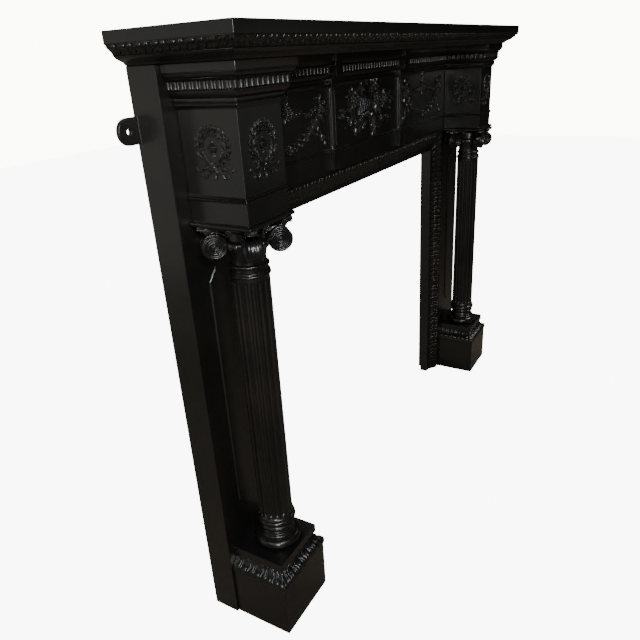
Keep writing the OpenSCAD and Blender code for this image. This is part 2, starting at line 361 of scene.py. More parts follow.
def group_sockets(tree: bpy.types.NodeTree, ins: dict[str, str], outs: dict[str, str]) -> tuple:
    """Gives a node group its named sockets.

    Args:
        tree: the group.
        ins: socket type of each input.
        outs: socket type of each output.

    Returns:
        Its input node and its output node.
    """
    for name, kind in ins.items():
        tree.interface.new_socket(name=name, in_out="INPUT", socket_type=kind)
    for name, kind in outs.items():
        tree.interface.new_socket(name=name, in_out="OUTPUT", socket_type=kind)
    return tree.nodes.new("NodeGroupInput"), tree.nodes.new("NodeGroupOutput")


def iron_skin_group() -> bpy.types.NodeTree:
    """Node group for the cast skin: uneven sand-cast grain under brushed paint.

    Returns:
        The group.
    """
    tree = bpy.data.node_groups.new("cast_skin", "ShaderNodeTree")
    kit = NodeKit(tree)
    start, end = group_sockets(
        tree,
        {"Vector": "NodeSocketVector", "Grain": "NodeSocketFloat", "Wave": "NodeSocketFloat"},
        {"Height": "NodeSocketFloat", "Patch": "NodeSocketFloat"},
    )
    grain = kit.add("ShaderNodeTexNoise", Scale=620.0, Detail=3.0, Roughness=0.6)
    wave = kit.add("ShaderNodeTexNoise", Scale=38.0, Detail=4.0, Roughness=0.55)
    brush_scale = kit.add("ShaderNodeMapping")
    brush_scale.inputs["Scale"].default_value = (1.0, 1.0, 0.12)
    brush = kit.add("ShaderNodeTexNoise", Scale=260.0, Detail=2.0)
    patch = kit.add("ShaderNodeTexNoise", Scale=7.0, Detail=5.0, Roughness=0.62)
    for node in (grain, wave, brush_scale, patch):
        kit.link(start.outputs["Vector"], node.inputs["Vector"])
    kit.link(brush_scale.outputs["Vector"], brush.inputs["Vector"])
    fine = kit.math("MULTIPLY", grain.outputs["Fac"], start.outputs["Grain"])
    broad = kit.math("MULTIPLY", wave.outputs["Fac"], start.outputs["Wave"])
    stroke = kit.math("MULTIPLY", start.outputs["Grain"], 0.7)
    streaks = kit.math("MULTIPLY", brush.outputs["Fac"], stroke)
    total = kit.math("ADD", kit.math("ADD", fine, broad), streaks)
    kit.link(total, end.inputs["Height"])
    kit.link(patch.outputs["Fac"], end.inputs["Patch"])
    return tree


def rub_highlight_dust_group() -> bpy.types.NodeTree:
    """Node group for the rub mask on arrises and high points, which is partly rubbed paint and partly a painted
    highlight, and for settled dust, from how sharp the surface bends.

    Returns:
        The group.
    """
    tree = bpy.data.node_groups.new("rub_highlight_and_dust", "ShaderNodeTree")
    kit = NodeKit(tree)
    start, end = group_sockets(
        tree,
        {"Vector": "NodeSocketVector", "Bend": "NodeSocketFloat", "Reach": "NodeSocketFloat"},
        {"RubAndHighlight": "NodeSocketFloat", "Dust": "NodeSocketFloat"},
    )
    mottle = kit.add("ShaderNodeTexNoise", Scale=55.0, Detail=4.0, Roughness=0.65)
    kit.link(start.outputs["Vector"], mottle.inputs["Vector"])
    # Sharp convex edges and high points get the rub mask: partly rubbed paint, partly a painted highlight on
    # arrises and carving tips.
    edge = kit.ramp(start.outputs["Bend"], 0.54, 0.64)
    rub_and_highlight = kit.math("MULTIPLY", edge, kit.ramp(mottle.outputs["Fac"], 0.34, 0.58))
    rub_and_highlight = kit.math("MULTIPLY", rub_and_highlight, start.outputs["Reach"])
    hollow = kit.ramp(start.outputs["Bend"], 0.49, 0.40)
    dust = kit.math("MULTIPLY", hollow, kit.ramp(mottle.outputs["Fac"], 0.30, 0.70))
    kit.link(rub_and_highlight, end.inputs["RubAndHighlight"])
    kit.link(dust, end.inputs["Dust"])
    return tree


@dataclass(frozen=True)
class BlackPaint:
    """Old black satin paint on cast iron, with a lighter colour on rubbed arrises and high points that is
    partly wear and partly a painted highlight.
    """

    name: str
    slot: Slot
    colour: Colour
    warm: Colour
    rubbed_and_highlit: Colour
    dust: Colour
    roughness: float
    rub_and_highlight_roughness: float
    rub_and_highlight_reach: float
    grain: float
    wave: float

    def material(self, skin: bpy.types.NodeTree, rub_highlight_dust: bpy.types.NodeTree) -> bpy.types.Material:
        """Builds the finish.

        Args:
            skin: the cast-skin group.
            rub_highlight_dust: the group for the rub mask, which also carries a painted highlight, and for
                dust.

        Returns:
            The material.
        """
        made = bpy.data.materials.new(self.name)
        made.use_nodes = True
        tree = made.node_tree
        kit = NodeKit(tree)
        shader = tree.nodes["Principled BSDF"]
        shader.inputs["IOR"].default_value = 1.52
        shader.inputs["Specular IOR Level"].default_value = 0.5
        shader.inputs["Coat Weight"].default_value = 0.6
        shader.inputs["Coat Roughness"].default_value = 0.20
        place = kit.add("ShaderNodeTexCoord")
        bend = kit.add("ShaderNodeNewGeometry")
        cast = kit.add("ShaderNodeGroup", node_tree=skin)
        cast.inputs["Grain"].default_value = self.grain
        cast.inputs["Wave"].default_value = self.wave
        rub_highlight_dust_node = kit.add("ShaderNodeGroup", node_tree=rub_highlight_dust)
        rub_highlight_dust_node.inputs["Reach"].default_value = self.rub_and_highlight_reach
        for node in (cast, rub_highlight_dust_node):
            kit.link(place.outputs["Object"], node.inputs["Vector"])
        kit.link(bend.outputs["Pointiness"], rub_highlight_dust_node.inputs["Bend"])
        base = self._mix(kit, kit.ramp(cast.outputs["Patch"], 0.40, 0.66), self.colour, self.warm)
        dusty = self._mix(kit, kit.math("MULTIPLY", rub_highlight_dust_node.outputs["Dust"], 0.55), base, self.dust)
        # The rubbed colour on sharp edges and high points is partly wear and partly a painted highlight.
        final = self._mix(kit, rub_highlight_dust_node.outputs["RubAndHighlight"], dusty, self.rubbed_and_highlit)
        kit.link(final, shader.inputs["Base Color"])
        uneven = kit.add("ShaderNodeMapRange")
        uneven.inputs["To Min"].default_value = self.roughness - 0.07
        uneven.inputs["To Max"].default_value = self.roughness + 0.09
        kit.link(cast.outputs["Patch"], uneven.inputs["Value"])
        gloss = self._value_mix(kit, rub_highlight_dust_node.outputs["RubAndHighlight"], uneven.outputs["Result"], self.rub_and_highlight_roughness)
        gloss = self._value_mix(kit, rub_highlight_dust_node.outputs["Dust"], gloss, 0.7)
        kit.link(gloss, shader.inputs["Roughness"])
        relief = kit.add("ShaderNodeBump", Strength=0.35, Distance=0.0006)
        kit.link(cast.outputs["Height"], relief.inputs["Height"])
        kit.link(relief.outputs["Normal"], shader.inputs["Normal"])
        return made

    @staticmethod
    def _mix(
        kit: NodeKit, share: bpy.types.NodeSocket, a: Union[bpy.types.NodeSocket, Colour],
        b: Union[bpy.types.NodeSocket, Colour],
    ) -> bpy.types.NodeSocket:
        """Mixes two colours.

        Args:
            kit: lays out the node.
            share: how much of the second colour shows.
            a: first colour, or a socket that gives it.
            b: second colour, or a socket that gives it.

        Returns:
            The output socket.
        """
        node = kit.add("ShaderNodeMix", data_type="RGBA")
        kit.link(share, node.inputs[0])
        for socket, value in ((node.inputs[6], a), (node.inputs[7], b)):
            if isinstance(value, bpy.types.NodeSocket):
                kit.link(value, socket)
            else:
                socket.default_value = (*value, 1.0)
        return node.outputs[2]

    @staticmethod
    def _value_mix(
        kit: NodeKit, share: bpy.types.NodeSocket, a: bpy.types.NodeSocket, b: float,
    ) -> bpy.types.NodeSocket:
        """Mixes a socket towards a number.

        Args:
            kit: lays out the node.
            share: how much of the number shows.
            a: the socket.
            b: the number.

        Returns:
            The output socket.
        """
        node = kit.add("ShaderNodeMix", data_type="FLOAT")
        kit.link(share, node.inputs[0])
        kit.link(a, node.inputs[2])
        node.inputs[3].default_value = b
        return node.outputs[0]


class Paintwork:
    """The finishes, built once and shared by every piece."""

    def __init__(self) -> None:
        """Builds both slots' materials."""
        skin, rub_highlight_dust = iron_skin_group(), rub_highlight_dust_group()
        # The rubbed colours are partly wear and partly a painted highlight; the carving's is strong so its tips
        # glint, the plain one lightens the arrises.
        plain = BlackPaint(
            name="black_iron_paint", slot=Slot.PLAIN, colour=(0.0052, 0.0054, 0.0052),
            warm=(0.0096, 0.0084, 0.0068), rubbed_and_highlit=(0.020, 0.019, 0.017), dust=(0.012, 0.012, 0.010),
            roughness=0.40, rub_and_highlight_roughness=0.34, rub_and_highlight_reach=0.25, grain=1.0, wave=0.8,
        )
        carved = BlackPaint(
            name="black_iron_carved_paint", slot=Slot.CARVED, colour=(0.0060, 0.0060, 0.0056),
            warm=(0.0120, 0.0102, 0.0084), rubbed_and_highlit=(0.095, 0.092, 0.084), dust=(0.012, 0.012, 0.010),
            roughness=0.32, rub_and_highlight_roughness=0.24, rub_and_highlight_reach=0.75, grain=0.8, wave=0.6,
        )
        self.made = {paint.slot: paint.material(skin, rub_highlight_dust) for paint in (plain, carved)}

    def dress(self, piece: bpy.types.Object, slot: Slot) -> None:
        """Gives a piece its one finish and its slot."""
        piece.data.materials.clear()
        piece.data.materials.append(self.made[slot])


class Foundry:
    """Turns finished meshes into pieces of the surround."""

    SHARP = math.radians(36)

    def __init__(self, paint: Paintwork) -> None:
        """Keeps the paint for every piece."""
        self.paint = paint

    def cast(
        self, name: str, bm: bmesh.types.BMesh, slot: Slot, replaces: Iterable[str] = (),
        sharp: float = SHARP,
    ) -> bpy.types.Object:
        """Makes one piece.

        Args:
            name: name of the piece.
            bm: its mesh in metres, freed here.
            slot: material slot.
            replaces: CAD nodes that it stands for.
            sharp: angle from which an edge stays crisp.

        Returns:
            The piece, riding on the one body.
        """
        for face in bm.faces:
            face.smooth = True
        for edge in bm.edges:
            edge.smooth = edge.calc_face_angle(0.0) < sharp
        mesh = bpy.data.meshes.new(name)
        bm.to_mesh(mesh)
        bm.free()
        piece = bpy.data.objects.new(name, mesh)
        bpy.context.scene.collection.objects.link(piece)
        self.paint.dress(piece, slot)
        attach(piece, ROOT)
        if replaces:
            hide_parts(*replaces)
        LOG.info("%s: %d faces", name, len(mesh.polygons))
        return piece


# ---- Plain castings: the frame's own shapes with their arrises eased -------------------------


@dataclass
class EasedBody:
    """One CAD node's shape with softened arrises, as paint and casting leave them."""

    node: str
    name: str
    ease: float = 0.9 * MM
    flat: float = math.radians(0.6)
    corner: float = math.radians(32)
    whole_faces: bool = True

    def build(self, foundry: Foundry, slot: Slot = Slot.PLAIN) -> bpy.types.Object:
        """Copies, merges and eases the node.

        Args:
            foundry: makes the piece.
            slot: its finish.

        Returns:
            The piece.
        """
        bm = bmesh.new()
        bm.from_mesh(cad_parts[self.node].data)
        bmesh.ops.remove_doubles(bm, verts=bm.verts, dist=2e-5)
        if self.whole_faces:
            bmesh.ops.dissolve_limit(
                bm, angle_limit=self.flat, verts=bm.verts, edges=bm.edges,
                use_dissolve_boundaries=False,
            )
        piece = foundry.cast(self.name, bm, slot, [self.node], sharp=math.pi)
        bevel = piece.modifiers.new("eased_arrises", "BEVEL")
        bevel.width = self.ease
        bevel.segments = 2
        bevel.limit_method = "ANGLE"
        bevel.angle_limit = self.corner
        bevel.use_clamp_overlap = False
        even = piece.modifiers.new("even_shading", "WEIGHTED_NORMAL")
        even.weight = 80
        even.keep_sharp = False
        return piece


# ---- Leaf bands -----------------------------------------------------------------------------


@dataclass
class CarvedLeaf:
    """A leaf of a leaf band, flat: x across in millimetres, y from tip (0) to root (1), z out."""

    width: float
    height: float
    lobes: int = 3
    tip: float = 0.05
    root: float = 0.97
    crown: float = 0.30
    neck: float = 0.80

    def stamp(self) -> Stamp:
        """Builds the leaf.

        Returns:
            The leaf as a closed relief.
        """

        def place(u: float, v: float) -> tuple[float, float, float]:
            """Point of the leaf's face: notched edges, two pairs of swellings and a crease."""
            side = 2 * u - 1
            if v < 0.36:
                edge = math.sin(math.pi * min(1.0, v * 1.25 + 0.05)) ** 0.55
            else:
                edge = 1 - 0.42 * (v - 0.36)
            notch = 1 - 0.16 * (0.5 + 0.5 * math.cos(math.tau * self.lobes * v)) * (1 if v > 0.12 else 0)
            half = self.width / 2 * edge * notch
            dome = math.sqrt(max(0.0, 1 - (0.94 * side) ** 2))
            pair = 0.35 + 0.65 * bump(abs(side), 0.50, 0.34)
            swell = 0.40 + 1.15 * bump(v, self.crown, 0.12) * pair + 0.85 * bump(v, self.neck, 0.10) * pair
            crease = 0.42 * bump(side, 0, 0.16) * min(1.0, 3 * v)
            wave = 0.5 + 0.5 * math.cos(math.tau * (self.lobes * v + 0.8 * abs(side)))
            vein = 0.24 * wave * abs(side)
            out = self.height * (swell * (0.20 + 0.80 * dome) - crease - vein)
            rise = max(0.25, out * (0.45 + 0.55 * min(1, v * 6)))
            return (half * side, blend(self.tip, self.root, v), rise)

        return Stamp(close_back(sheet(6, 11, place), 0.6))


@dataclass
class BandRun:
    """A straight length of leaf band between two mitres or square ends."""

    place: Matrix
    start: float
    end: float
    start_lean: float
    end_lean: float
    start_cut: bool = True
    end_cut: bool = True


@dataclass
class LeafBand:
    """Two sizes of leaf, alternating along a moulding."""

    name: str
    profile: Callable[[float], tuple[float, float]]
    height: float
    pitch: float = 32.0
    share: float = 0.60
    settle: float = 2.0
    across: Vector = field(default_factory=lambda: Vector((0, 0, 1)))
    runs: list[BandRun] = field(default_factory=list)

    def point(self, t: float, out: float) -> tuple[float, float]:
        """Point beside the profile.

        Args:
            t: share of the way up the profile.
            out: distance out from it.

        Returns:
            The point, as (out, up).
        """
        step = 0.02
        x0, z0 = self.profile(t - step)
        x1, z1 = self.profile(t + step)
        run, rise = x1 - x0, z1 - z0
        length = math.hypot(run, rise)
        x, z = self.profile(t)
        return x + out * rise / length, z - out * run / length

    def _run(self, run: BandRun, leaves: Sequence[Stamp]) -> bmesh.types.BMesh:
        """One run of leaves, cut at its mitres and set in place.

        Args:
            run: where it starts and ends, and how it is cut.
            leaves: the broad leaf and the narrow one.

        Returns:
            The run's mesh, in metres.
        """
        bm = bmesh.new()
        length = run.end - run.start
        count = max(1, round(length / self.pitch))
        pitch = length / count
        reach = self.settle * pitch
        stretch = pitch / self.pitch

        def lean(s: float, t: float) -> float:
            """Shift along the run that lets the last leaves lie along the mitres."""
            near_end = max(0.0, 1 - (run.end - s) / reach) if run.end_cut else 0.0
            near_start = max(0.0, 1 - (s - run.start) / reach) if run.start_cut else 0.0
            return run.end_lean * t * near_end - run.start_lean * t * near_start

        first = 0 if run.start_cut else 1
        last = 2 * count if run.end_cut else 2 * count - 1
        for i in range(first, last + 1):
            middle = run.start + i * pitch / 2
            leaf = leaves[i % 2]

            def rule(co: Vector, middle: float = middle) -> Vector:
                """Point of the leaf once it lies on the moulding."""
                s = middle + co.x * stretch
                out, up = self.point(co.y, co.z)
                return Vector((s + lean(s, co.y), -out, up))

            leaf.bend(bm, rule)
        for cut, s, slope, side in (
            (run.start_cut, run.start, -run.start_lean, -1),
            (run.end_cut, run.end, run.end_lean, 1),
        ):
            if cut:
                low, high = self.profile(0.0), self.profile(1.0)
                along = Vector((slope, -(high[0] - low[0]), high[1] - low[1]))
                plane = self._mitre_normal(along, side, self.across)
                bmesh.ops.bisect_plane(
                    bm, geom=bm.verts[:] + bm.edges[:] + bm.faces[:], dist=1e-5,
                    plane_co=(s, -low[0], low[1]), plane_no=plane, clear_outer=True,
                )
        bmesh.ops.transform(bm, matrix=run.place, verts=bm.verts)
        return bm

    @staticmethod
    def _mitre_normal(along: Vector, side: int, across: Vector) -> Vector:
        """Normal of a mitre plane that holds the corner line, facing the end that is cut away."""
        normal = across.cross(along).normalized()
        return normal if normal.x * side > 0 else -normal

    def build(self, foundry: Foundry, slot: Slot) -> bpy.types.Object:
        """Makes every run one piece.

        Args:
            foundry: makes the piece.
            slot: its finish.

        Returns:
            The piece.
        """
        broad = CarvedLeaf(self.pitch * self.share, self.height).stamp()
        narrow_width = self.pitch * (1 - self.share) * 0.95
        narrow = CarvedLeaf(narrow_width, self.height * 0.85, lobes=2, tip=0.10).stamp()
        whole = bmesh.new()
        for run in self.runs:
            part = bpy.data.meshes.new("run")
            made = self._run(run, (broad, narrow))
            made.to_mesh(part)
            made.free()
            whole.from_mesh(part)
            bpy.data.meshes.remove(part)
        bmesh.ops.remove_doubles(whole, verts=whole.verts, dist=1e-5)
        return foundry.cast(self.name, whole, slot, sharp=math.radians(60))


class LeafBands:
    """The leaf bands under the shelf, over the pedestals and round the fire opening."""

    LEAF_OUT = 3.9
    TIGHT_PITCH = 31.5
    WIDE_PITCH = 32.0

    def __init__(self) -> None:
        """Reads the places that every band hangs on."""
        self.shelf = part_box("mantel_shelf")
        self.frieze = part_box("frieze")

    def _front(self, x: float, y: float, z: float) -> Matrix:
        """Frame of a run that faces the room, its x along +X."""
        return Matrix.Translation((x, y, z)) @ Matrix.Diagonal((MM, MM, MM, 1))

    def _side(self, x: float, y: float, z: float, side: float) -> Matrix:
        """Frame of a run on a side face, its x along the depth."""
        return (
            Matrix.Translation((x, y, z)) @ Matrix.Rotation(math.radians(90 * side), 4, "Z")
            @ Matrix.Diagonal((MM, MM, MM, 1))
        )

    @staticmethod
    def _return_run(place: Matrix, length: float, lean: float, side: float) -> BandRun:
        """Run on a side face, mitred at the front corner and square at the wall.

        Args:
            place: its frame, which starts at the wall.
            length: its length.
            lean: how far its mitre leans.
            side: -1 on the left and 1 on the right.

        Returns:
            The run.
        """
        if side > 0:
            return BandRun(place, -length, 0.0, lean, 0, start_cut=True, end_cut=False)
        return BandRun(place, 0.0, length, 0, lean, start_cut=False, end_cut=True)

    def under_shelf(self) -> LeafBand:
        """Band on the ogee under the shelf's square edge.

        Returns:
            The band, with a run along the front and one on each side.
        """
        low, high = self.shelf
        bed, leaf, rise, inner = 14.0, 16.0, 12.0, 14.0
        band = LeafBand(
            "shelf_leaf_band", lambda t: (-inner + rise * ogee(t), bed + leaf * t),
            self.LEAF_OUT * 0.85, self.TIGHT_PITCH,
        )
        half, depth = (high.x - low.x) / 2 / MM, (high.y - low.y) / MM
        band.runs.append(BandRun(self._front(0, low.y, low.z), -half + inner, half - inner, rise, rise))
        for side in SIDES.values():
            place = self._side(side * half * MM, high.y, low.z, side)
            band.runs.append(self._return_run(place, depth - inner, rise, side))
        return band

    def over_pedestal(self, name: str) -> LeafBand:
        """Band on the slope between a pedestal's block and its plinth.

        Args:
            name: left or right.

        Returns:
            The band, with a run along the front and one on each side.
        """
        low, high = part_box(f"pedestal_{name}")
        grow, lean, leaf, base = 2.0, -21.0, 36.0, 120.0
        band = LeafBand(
            f"pedestal_leaf_band_{name}", lambda t: (grow + lean * ogee(t), base + leaf * t),
            self.LEAF_OUT, self.TIGHT_PITCH,
        )
        half = (high.x - low.x) / 2 / MM
        depth = (high.y - low.y) / MM
        middle = (low.x + high.x) / 2
        band.runs.append(BandRun(self._front(middle, low.y + grow * MM, 0), -half, half, lean, lean))
        for hand in SIDES.values():
            place = self._side(middle + hand * (half - grow) * MM, high.y, 0, hand)
            band.runs.append(self._return_run(place, depth, lean, hand))
        return band

    def round_opening(self) -> LeafBand:
        """Band up both sides of the fire opening and across its head.

        Returns:
            The band, with three runs that meet in mitres.
        """
        low, high = self.frieze
        lip, leaf, behind, rise = 12.0, 41.0, 45.0, 21.0
        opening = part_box("jamb_right")[0].x
        band = LeafBand(
            "opening_leaf_band", lambda t: (behind + rise * ogee(t), lip + leaf * t),
            self.LEAF_OUT * 1.1, self.WIDE_PITCH,
        )
        band.across = Vector((0, 1, 0))
        wall, head = high.y, low.z
        reach = opening / MM + lip
        top = head / MM + lip
        unit = Matrix.Diagonal((MM, MM, MM, 1))
        band.runs.append(BandRun(Matrix.Translation((0, wall, head)) @ unit, -reach, reach, leaf, leaf))
        right = Matrix(((0, 0, 1, opening), (0, 1, 0, wall), (-1, 0, 0, 0), (0, 0, 0, 1)))
        left = Matrix(((0, 0, -1, -opening), (0, 1, 0, wall), (1, 0, 0, 0), (0, 0, 0, 1)))
        band.runs.append(self._return_run(right @ unit, top, leaf, 1))
        band.runs.append(self._return_run(left @ unit, top, leaf, -1))
        return band


@dataclass
class Entablature:
    """Shelf, frieze, end blocks, jambs and pedestals, and the colonnettes on the frieze."""

    PLAIN = {"mantel_shelf": "shelf", "frieze": "frieze_casting"} | {
        f"{kind}_{side}": f"{kind}_casting_{side}"
        for kind in ("end_block", "jamb", "pedestal") for side in SIDES
    }
    COLONNETTES = ("colonnette_left", "colonnette_right")

    fine_ease: float = 0.9
    broad_ease: float = 1.7
    slim_ease: float = 0.4
    bead_r: float = 3.6
    bead_gap: float = 17.0
    bead_z: float = 1120.0

    def build(self, foundry: Foundry) -> None:
        """Makes the eased castings, the covered beads and the leaf bands.

        Args:
            foundry: makes the pieces.
        """
        for node, name in self.PLAIN.items():
            fine = node.startswith(("frieze", "pedestal"))
            ease = (self.fine_ease if fine else self.broad_ease) * MM
            EasedBody(node, name, ease, whole_faces=node != "frieze").build(foundry)
        for node in self.COLONNETTES:
            EasedBody(node, f"{node}_casting", self.slim_ease * MM).build(foundry, Slot.CARVED)
        self._bead_pairs(foundry)
        bands = LeafBands()
        bands.under_shelf().build(foundry, Slot.PLAIN)
        bands.round_opening().build(foundry, Slot.PLAIN)
        for name in SIDES:
            bands.over_pedestal(name).build(foundry, Slot.PLAIN)

    def _bead_pairs(self, foundry: Foundry) -> None:
        """Two small beads at the head of each colonnette.

        They start on the frieze's own face, so the colonnette's head and the shelf cover them.

        Args:
            foundry: makes the piece.
        """
        bm = bmesh.new()
        bm.from_mesh(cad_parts["frieze"].data)
        frieze = BVHTree.FromBMesh(bm)
        bm.clear()
        for node in self.COLONNETTES:
            low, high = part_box(node)
            middle = (low.x + high.x) / 2
            for hand in (-1, 1):
                start = Vector((middle + hand * self.bead_gap / 2 * MM, low.y - 1, self.bead_z * MM))
                face = frieze.ray_cast(start, Vector((0, 1, 0)))[0]
                bmesh.ops.create_uvsphere(
                    bm, u_segments=16, v_segments=10, radius=self.bead_r * MM,
                    matrix=Matrix.Translation(face),
                )
        foundry.cast("frieze_beads", bm, Slot.CARVED)


# ---- Columns --------------------------------------------------------------------------------


@dataclass
class ColumnBase:
    """Turned base: a wide torus, a hollow with two thin rings, and a smaller torus."""

    foot_r: float = 50.0
    foot_roll: float = 11.0
    ring_r: float = 37.2
    roll_r: float = 41.0
    roll: float = 6.0
    shaft_r: float = 35.5
    steps: int = 88

    def profile(self) -> list[tuple[float, float]]:
        """Outline of the base.

        Returns:
            Points from the foot up, as (radius, height) in millimetres.
        """
        foot, roll = self.foot_roll, self.roll
        return [
            (0.0, 0.0),
            *arc((self.foot_r - foot, foot), foot, -90, 82, 12),
            (self.foot_r - foot, 2 * foot), (self.foot_r - foot + 3, 2 * foot + 0.4),
            (self.foot_r - foot + 3, 2 * foot + 2.6),
            *arc((self.ring_r + 3.4, 2 * foot + 7.4), 4.6, 262, 190, 4),
            *arc((self.ring_r - 1.7, 31.6), 1.9, -80, 85, 6),
            *arc((self.ring_r + 2.6, 39.4), 6.0, 225, 135, 6),
            *arc((self.ring_r - 1.4, 46.2), 2.0, -85, 80, 6),
            *arc((self.ring_r + 0.4, 51.2), 3.2, 240, 130, 4),
            *arc((self.roll_r - roll, 60.0), roll, -78, 84, 10),
            (self.shaft_r + 2.6, 66.3), (self.shaft_r + 2.6, 68.4),
            *arc((self.shaft_r + 3.4, 71.6), 3.2, 250, 190, 3),
            (0.0, 72.0),
        ]

    def build(self, foundry: Foundry, name: str) -> bpy.types.Object:
        """Turns one base.

        Args:
            foundry: makes the piece.
            name: left or right.

        Returns:
            The piece.
        """
        node = f"column_base_{name}"
        low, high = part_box(node)
        place = Matrix.Translation(((low.x + high.x) / 2, (low.y + high.y) / 2, low.z))
        bm = turned(self.profile(), self.steps)
        bmesh.ops.transform(bm, matrix=place @ Matrix.Diagonal((MM, MM, MM, 1)), verts=bm.verts)
        return foundry.cast(f"turned_base_{name}", bm, Slot.CARVED, [node], sharp=math.radians(50))


@dataclass
class FlutedShaft:
    """Tapering shaft with round-ended flutes, a bead at the foot of each, and a double neck ring."""

    foot_r: float = 35.5
    neck_r: float = 34.5
    flutes: int = 18
    depth_share: float = 0.78
    across: int = 12
    foot: float = 6.0
    neck: float = 17.0
    flare: float = 2.4
    ring_steps: int = 88

    def build(self, foundry: Foundry, name: str) -> bpy.types.Object:
        """Makes one shaft.

        Args:
            foundry: makes the piece.
            name: left or right.

        Returns:
            The piece.
        """
        node = f"column_shaft_{name}"
        low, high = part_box(node)
        length = (high.z - low.z) / MM
        scoop = math.pi * self.foot_r / self.flutes * self.depth_share
        sink = 0.35 * scoop
        half = math.sqrt(scoop ** 2 - sink ** 2)
        bottom, top = self.foot + scoop, length - self.neck - scoop
        levels = [0.0, 1.2, 2.6, 4.2]
        levels += [bottom - scoop + scoop * (1 - math.cos(math.radians(15 * k))) ** 0.9 for k in range(7)]
        levels += [blend(bottom, top, k / 8) for k in range(1, 8)]
        levels += [top + scoop * (1 - math.cos(math.radians(a))) for a in (0, 22, 38, 52, 65, 78, 90)]
        levels += [length - 12.0]
        levels.sort()
        count = self.flutes * self.across

        def place(u: float, v: float) -> tuple[float, float, float]:
            """Point of the shaft's skin, sunk where it crosses a round-ended flute."""
            column = round(u * count)
            part = column % self.across - self.across // 2
            z = levels[round(v * (len(levels) - 1))]
            radius = blend(self.foot_r, self.neck_r, z / length)
            radius += self.flare * max(0.0, 1 - z / 5.5) ** 2
            turn = (column // self.across + 0.5) * math.tau / self.flutes
            share = abs(part) / (self.across // 2)
            if share > 0.99:
                offset = math.pi * self.foot_r / self.flutes
            else:
                offset = half * math.sin(share * 6 / 5 * math.pi / 2)
            past = max(0.0, bottom - z, z - top)
            reach = scoop ** 2 - offset ** 2 - past ** 2
            depth = max(0.0, math.sqrt(max(0.0, reach)) - sink)
            angle = turn + math.copysign(offset / self.foot_r, part)
            return ((radius - depth) * math.sin(angle), -(radius - depth) * math.cos(angle), z)

        bm = sheet(count, len(levels) - 1, place)
        bmesh.ops.remove_doubles(bm, verts=bm.verts, dist=1e-3)
        bmesh.ops.holes_fill(bm, edges=[edge for edge in bm.edges if edge.is_boundary], sides=0)
        bmesh.ops.recalc_face_normals(bm, faces=bm.faces)
        bead = Stamp(ball(2.3, (0, 0, 0)))
        for i in range(self.flutes):
            turn = Matrix.Rotation((i + 0.5) * math.tau / self.flutes, 4, "Z")
            bead.press(bm, turn @ Matrix.Translation((0, -self.foot_r + 0.4, 4.6)))
        Stamp(self._neck_rings(length)).press(bm, Matrix.Identity(4))
        place_in = Matrix.Translation(((low.x + high.x) / 2, (low.y + high.y) / 2, low.z))
        bmesh.ops.transform(bm, matrix=place_in @ Matrix.Diagonal((MM, MM, MM, 1)), verts=bm.verts)
        return foundry.cast(f"fluted_shaft_{name}", bm, Slot.CARVED, [node], sharp=math.radians(42))

    def _neck_rings(self, top: float) -> bmesh.types.BMesh:
        """Double ring round the neck.

        Args:
            top: height of the shaft's top.

        Returns:
            The turned rings.
        """
        r = self.neck_r
        return turned(
            [
                (0, top - 12.5), (r + 0.1, top - 12.5), (r + 0.2, top - 10.4),
                *arc((r + 0.4, top - 7.6), 2.5, -90, 85, 7),
                (r + 0.6, top - 4.6),
                *arc((r + 0.3, top - 2.4), 1.6, -85, 85, 6),
                (r - 1.0, top), (0, top),
            ],
            self.ring_steps,
        )


@dataclass
class Volute:
    """A scroll: two coiled faces and a pinched, ribbed rim between them. Its axis is Z."""

    radius: float = 19.5
    half_width: float = 14.0
    turns: float = 3.2
    ridge: float = 2.8
    pinch: float = 3.2
    ribs: int = 5
    stretch: float = 1.0
    around: int = 72
    face: int = 34
    rim: int = 20
    inset: float = 1.4

    def stamp(self) -> bmesh.types.BMesh:
        """Builds the scroll.

        Returns:
            The closed scroll, about its own middle.
        """
        rows = 2 * self.face + self.rim

        def coil(share: float, turn: float) -> float:
            """Height of the coiled ridge, a share of the way from the eye to the rim."""
            ring = 0.5 - 0.5 * math.cos(math.tau * (self.turns * share + turn))
            eye = 2.4 * bump(share, 0.0, 0.15)
            edge = 1 - max(0.0, share - 0.93) / 0.07 * 0.6
            return self.ridge * ring ** 0.8 * edge * min(1.0, share * 5) + eye + 1.5 * (1 - share)

        def place(u: float, v: float) -> tuple[float, float, float]:
            """Point of one face, the rim or the other face, in that order."""
            row = round(v * rows)
            turn = round(u * self.around) / self.around
            if row <= self.face:
                share = row / self.face
                radius, z = self.radius * share, -self.half_width - coil(share, turn) + self.inset
            elif row >= rows - self.face:
                share = (rows - row) / self.face
                radius, z = self.radius * share, self.half_width + coil(share, turn) - self.inset
            else:
                share = (row - self.face) / self.rim
                z = blend(-self.half_width, self.half_width, share)
                waist = self.pinch * math.sin(math.pi * share) ** 0.8
                rib = 0.7 * abs(math.sin(math.pi * self.ribs * share)) - 0.7
                radius = self.radius - waist + rib * (1 if 0.06 < share < 0.94 else 0)
            angle = math.tau * turn
            return (radius * math.cos(angle) * self.stretch, radius * math.sin(angle), z)

        bm = sheet(self.around, rows, place)
        bmesh.ops.remove_doubles(bm, verts=bm.verts, dist=1e-3)
        bmesh.ops.recalc_face_normals(bm, faces=bm.faces)
        return bm


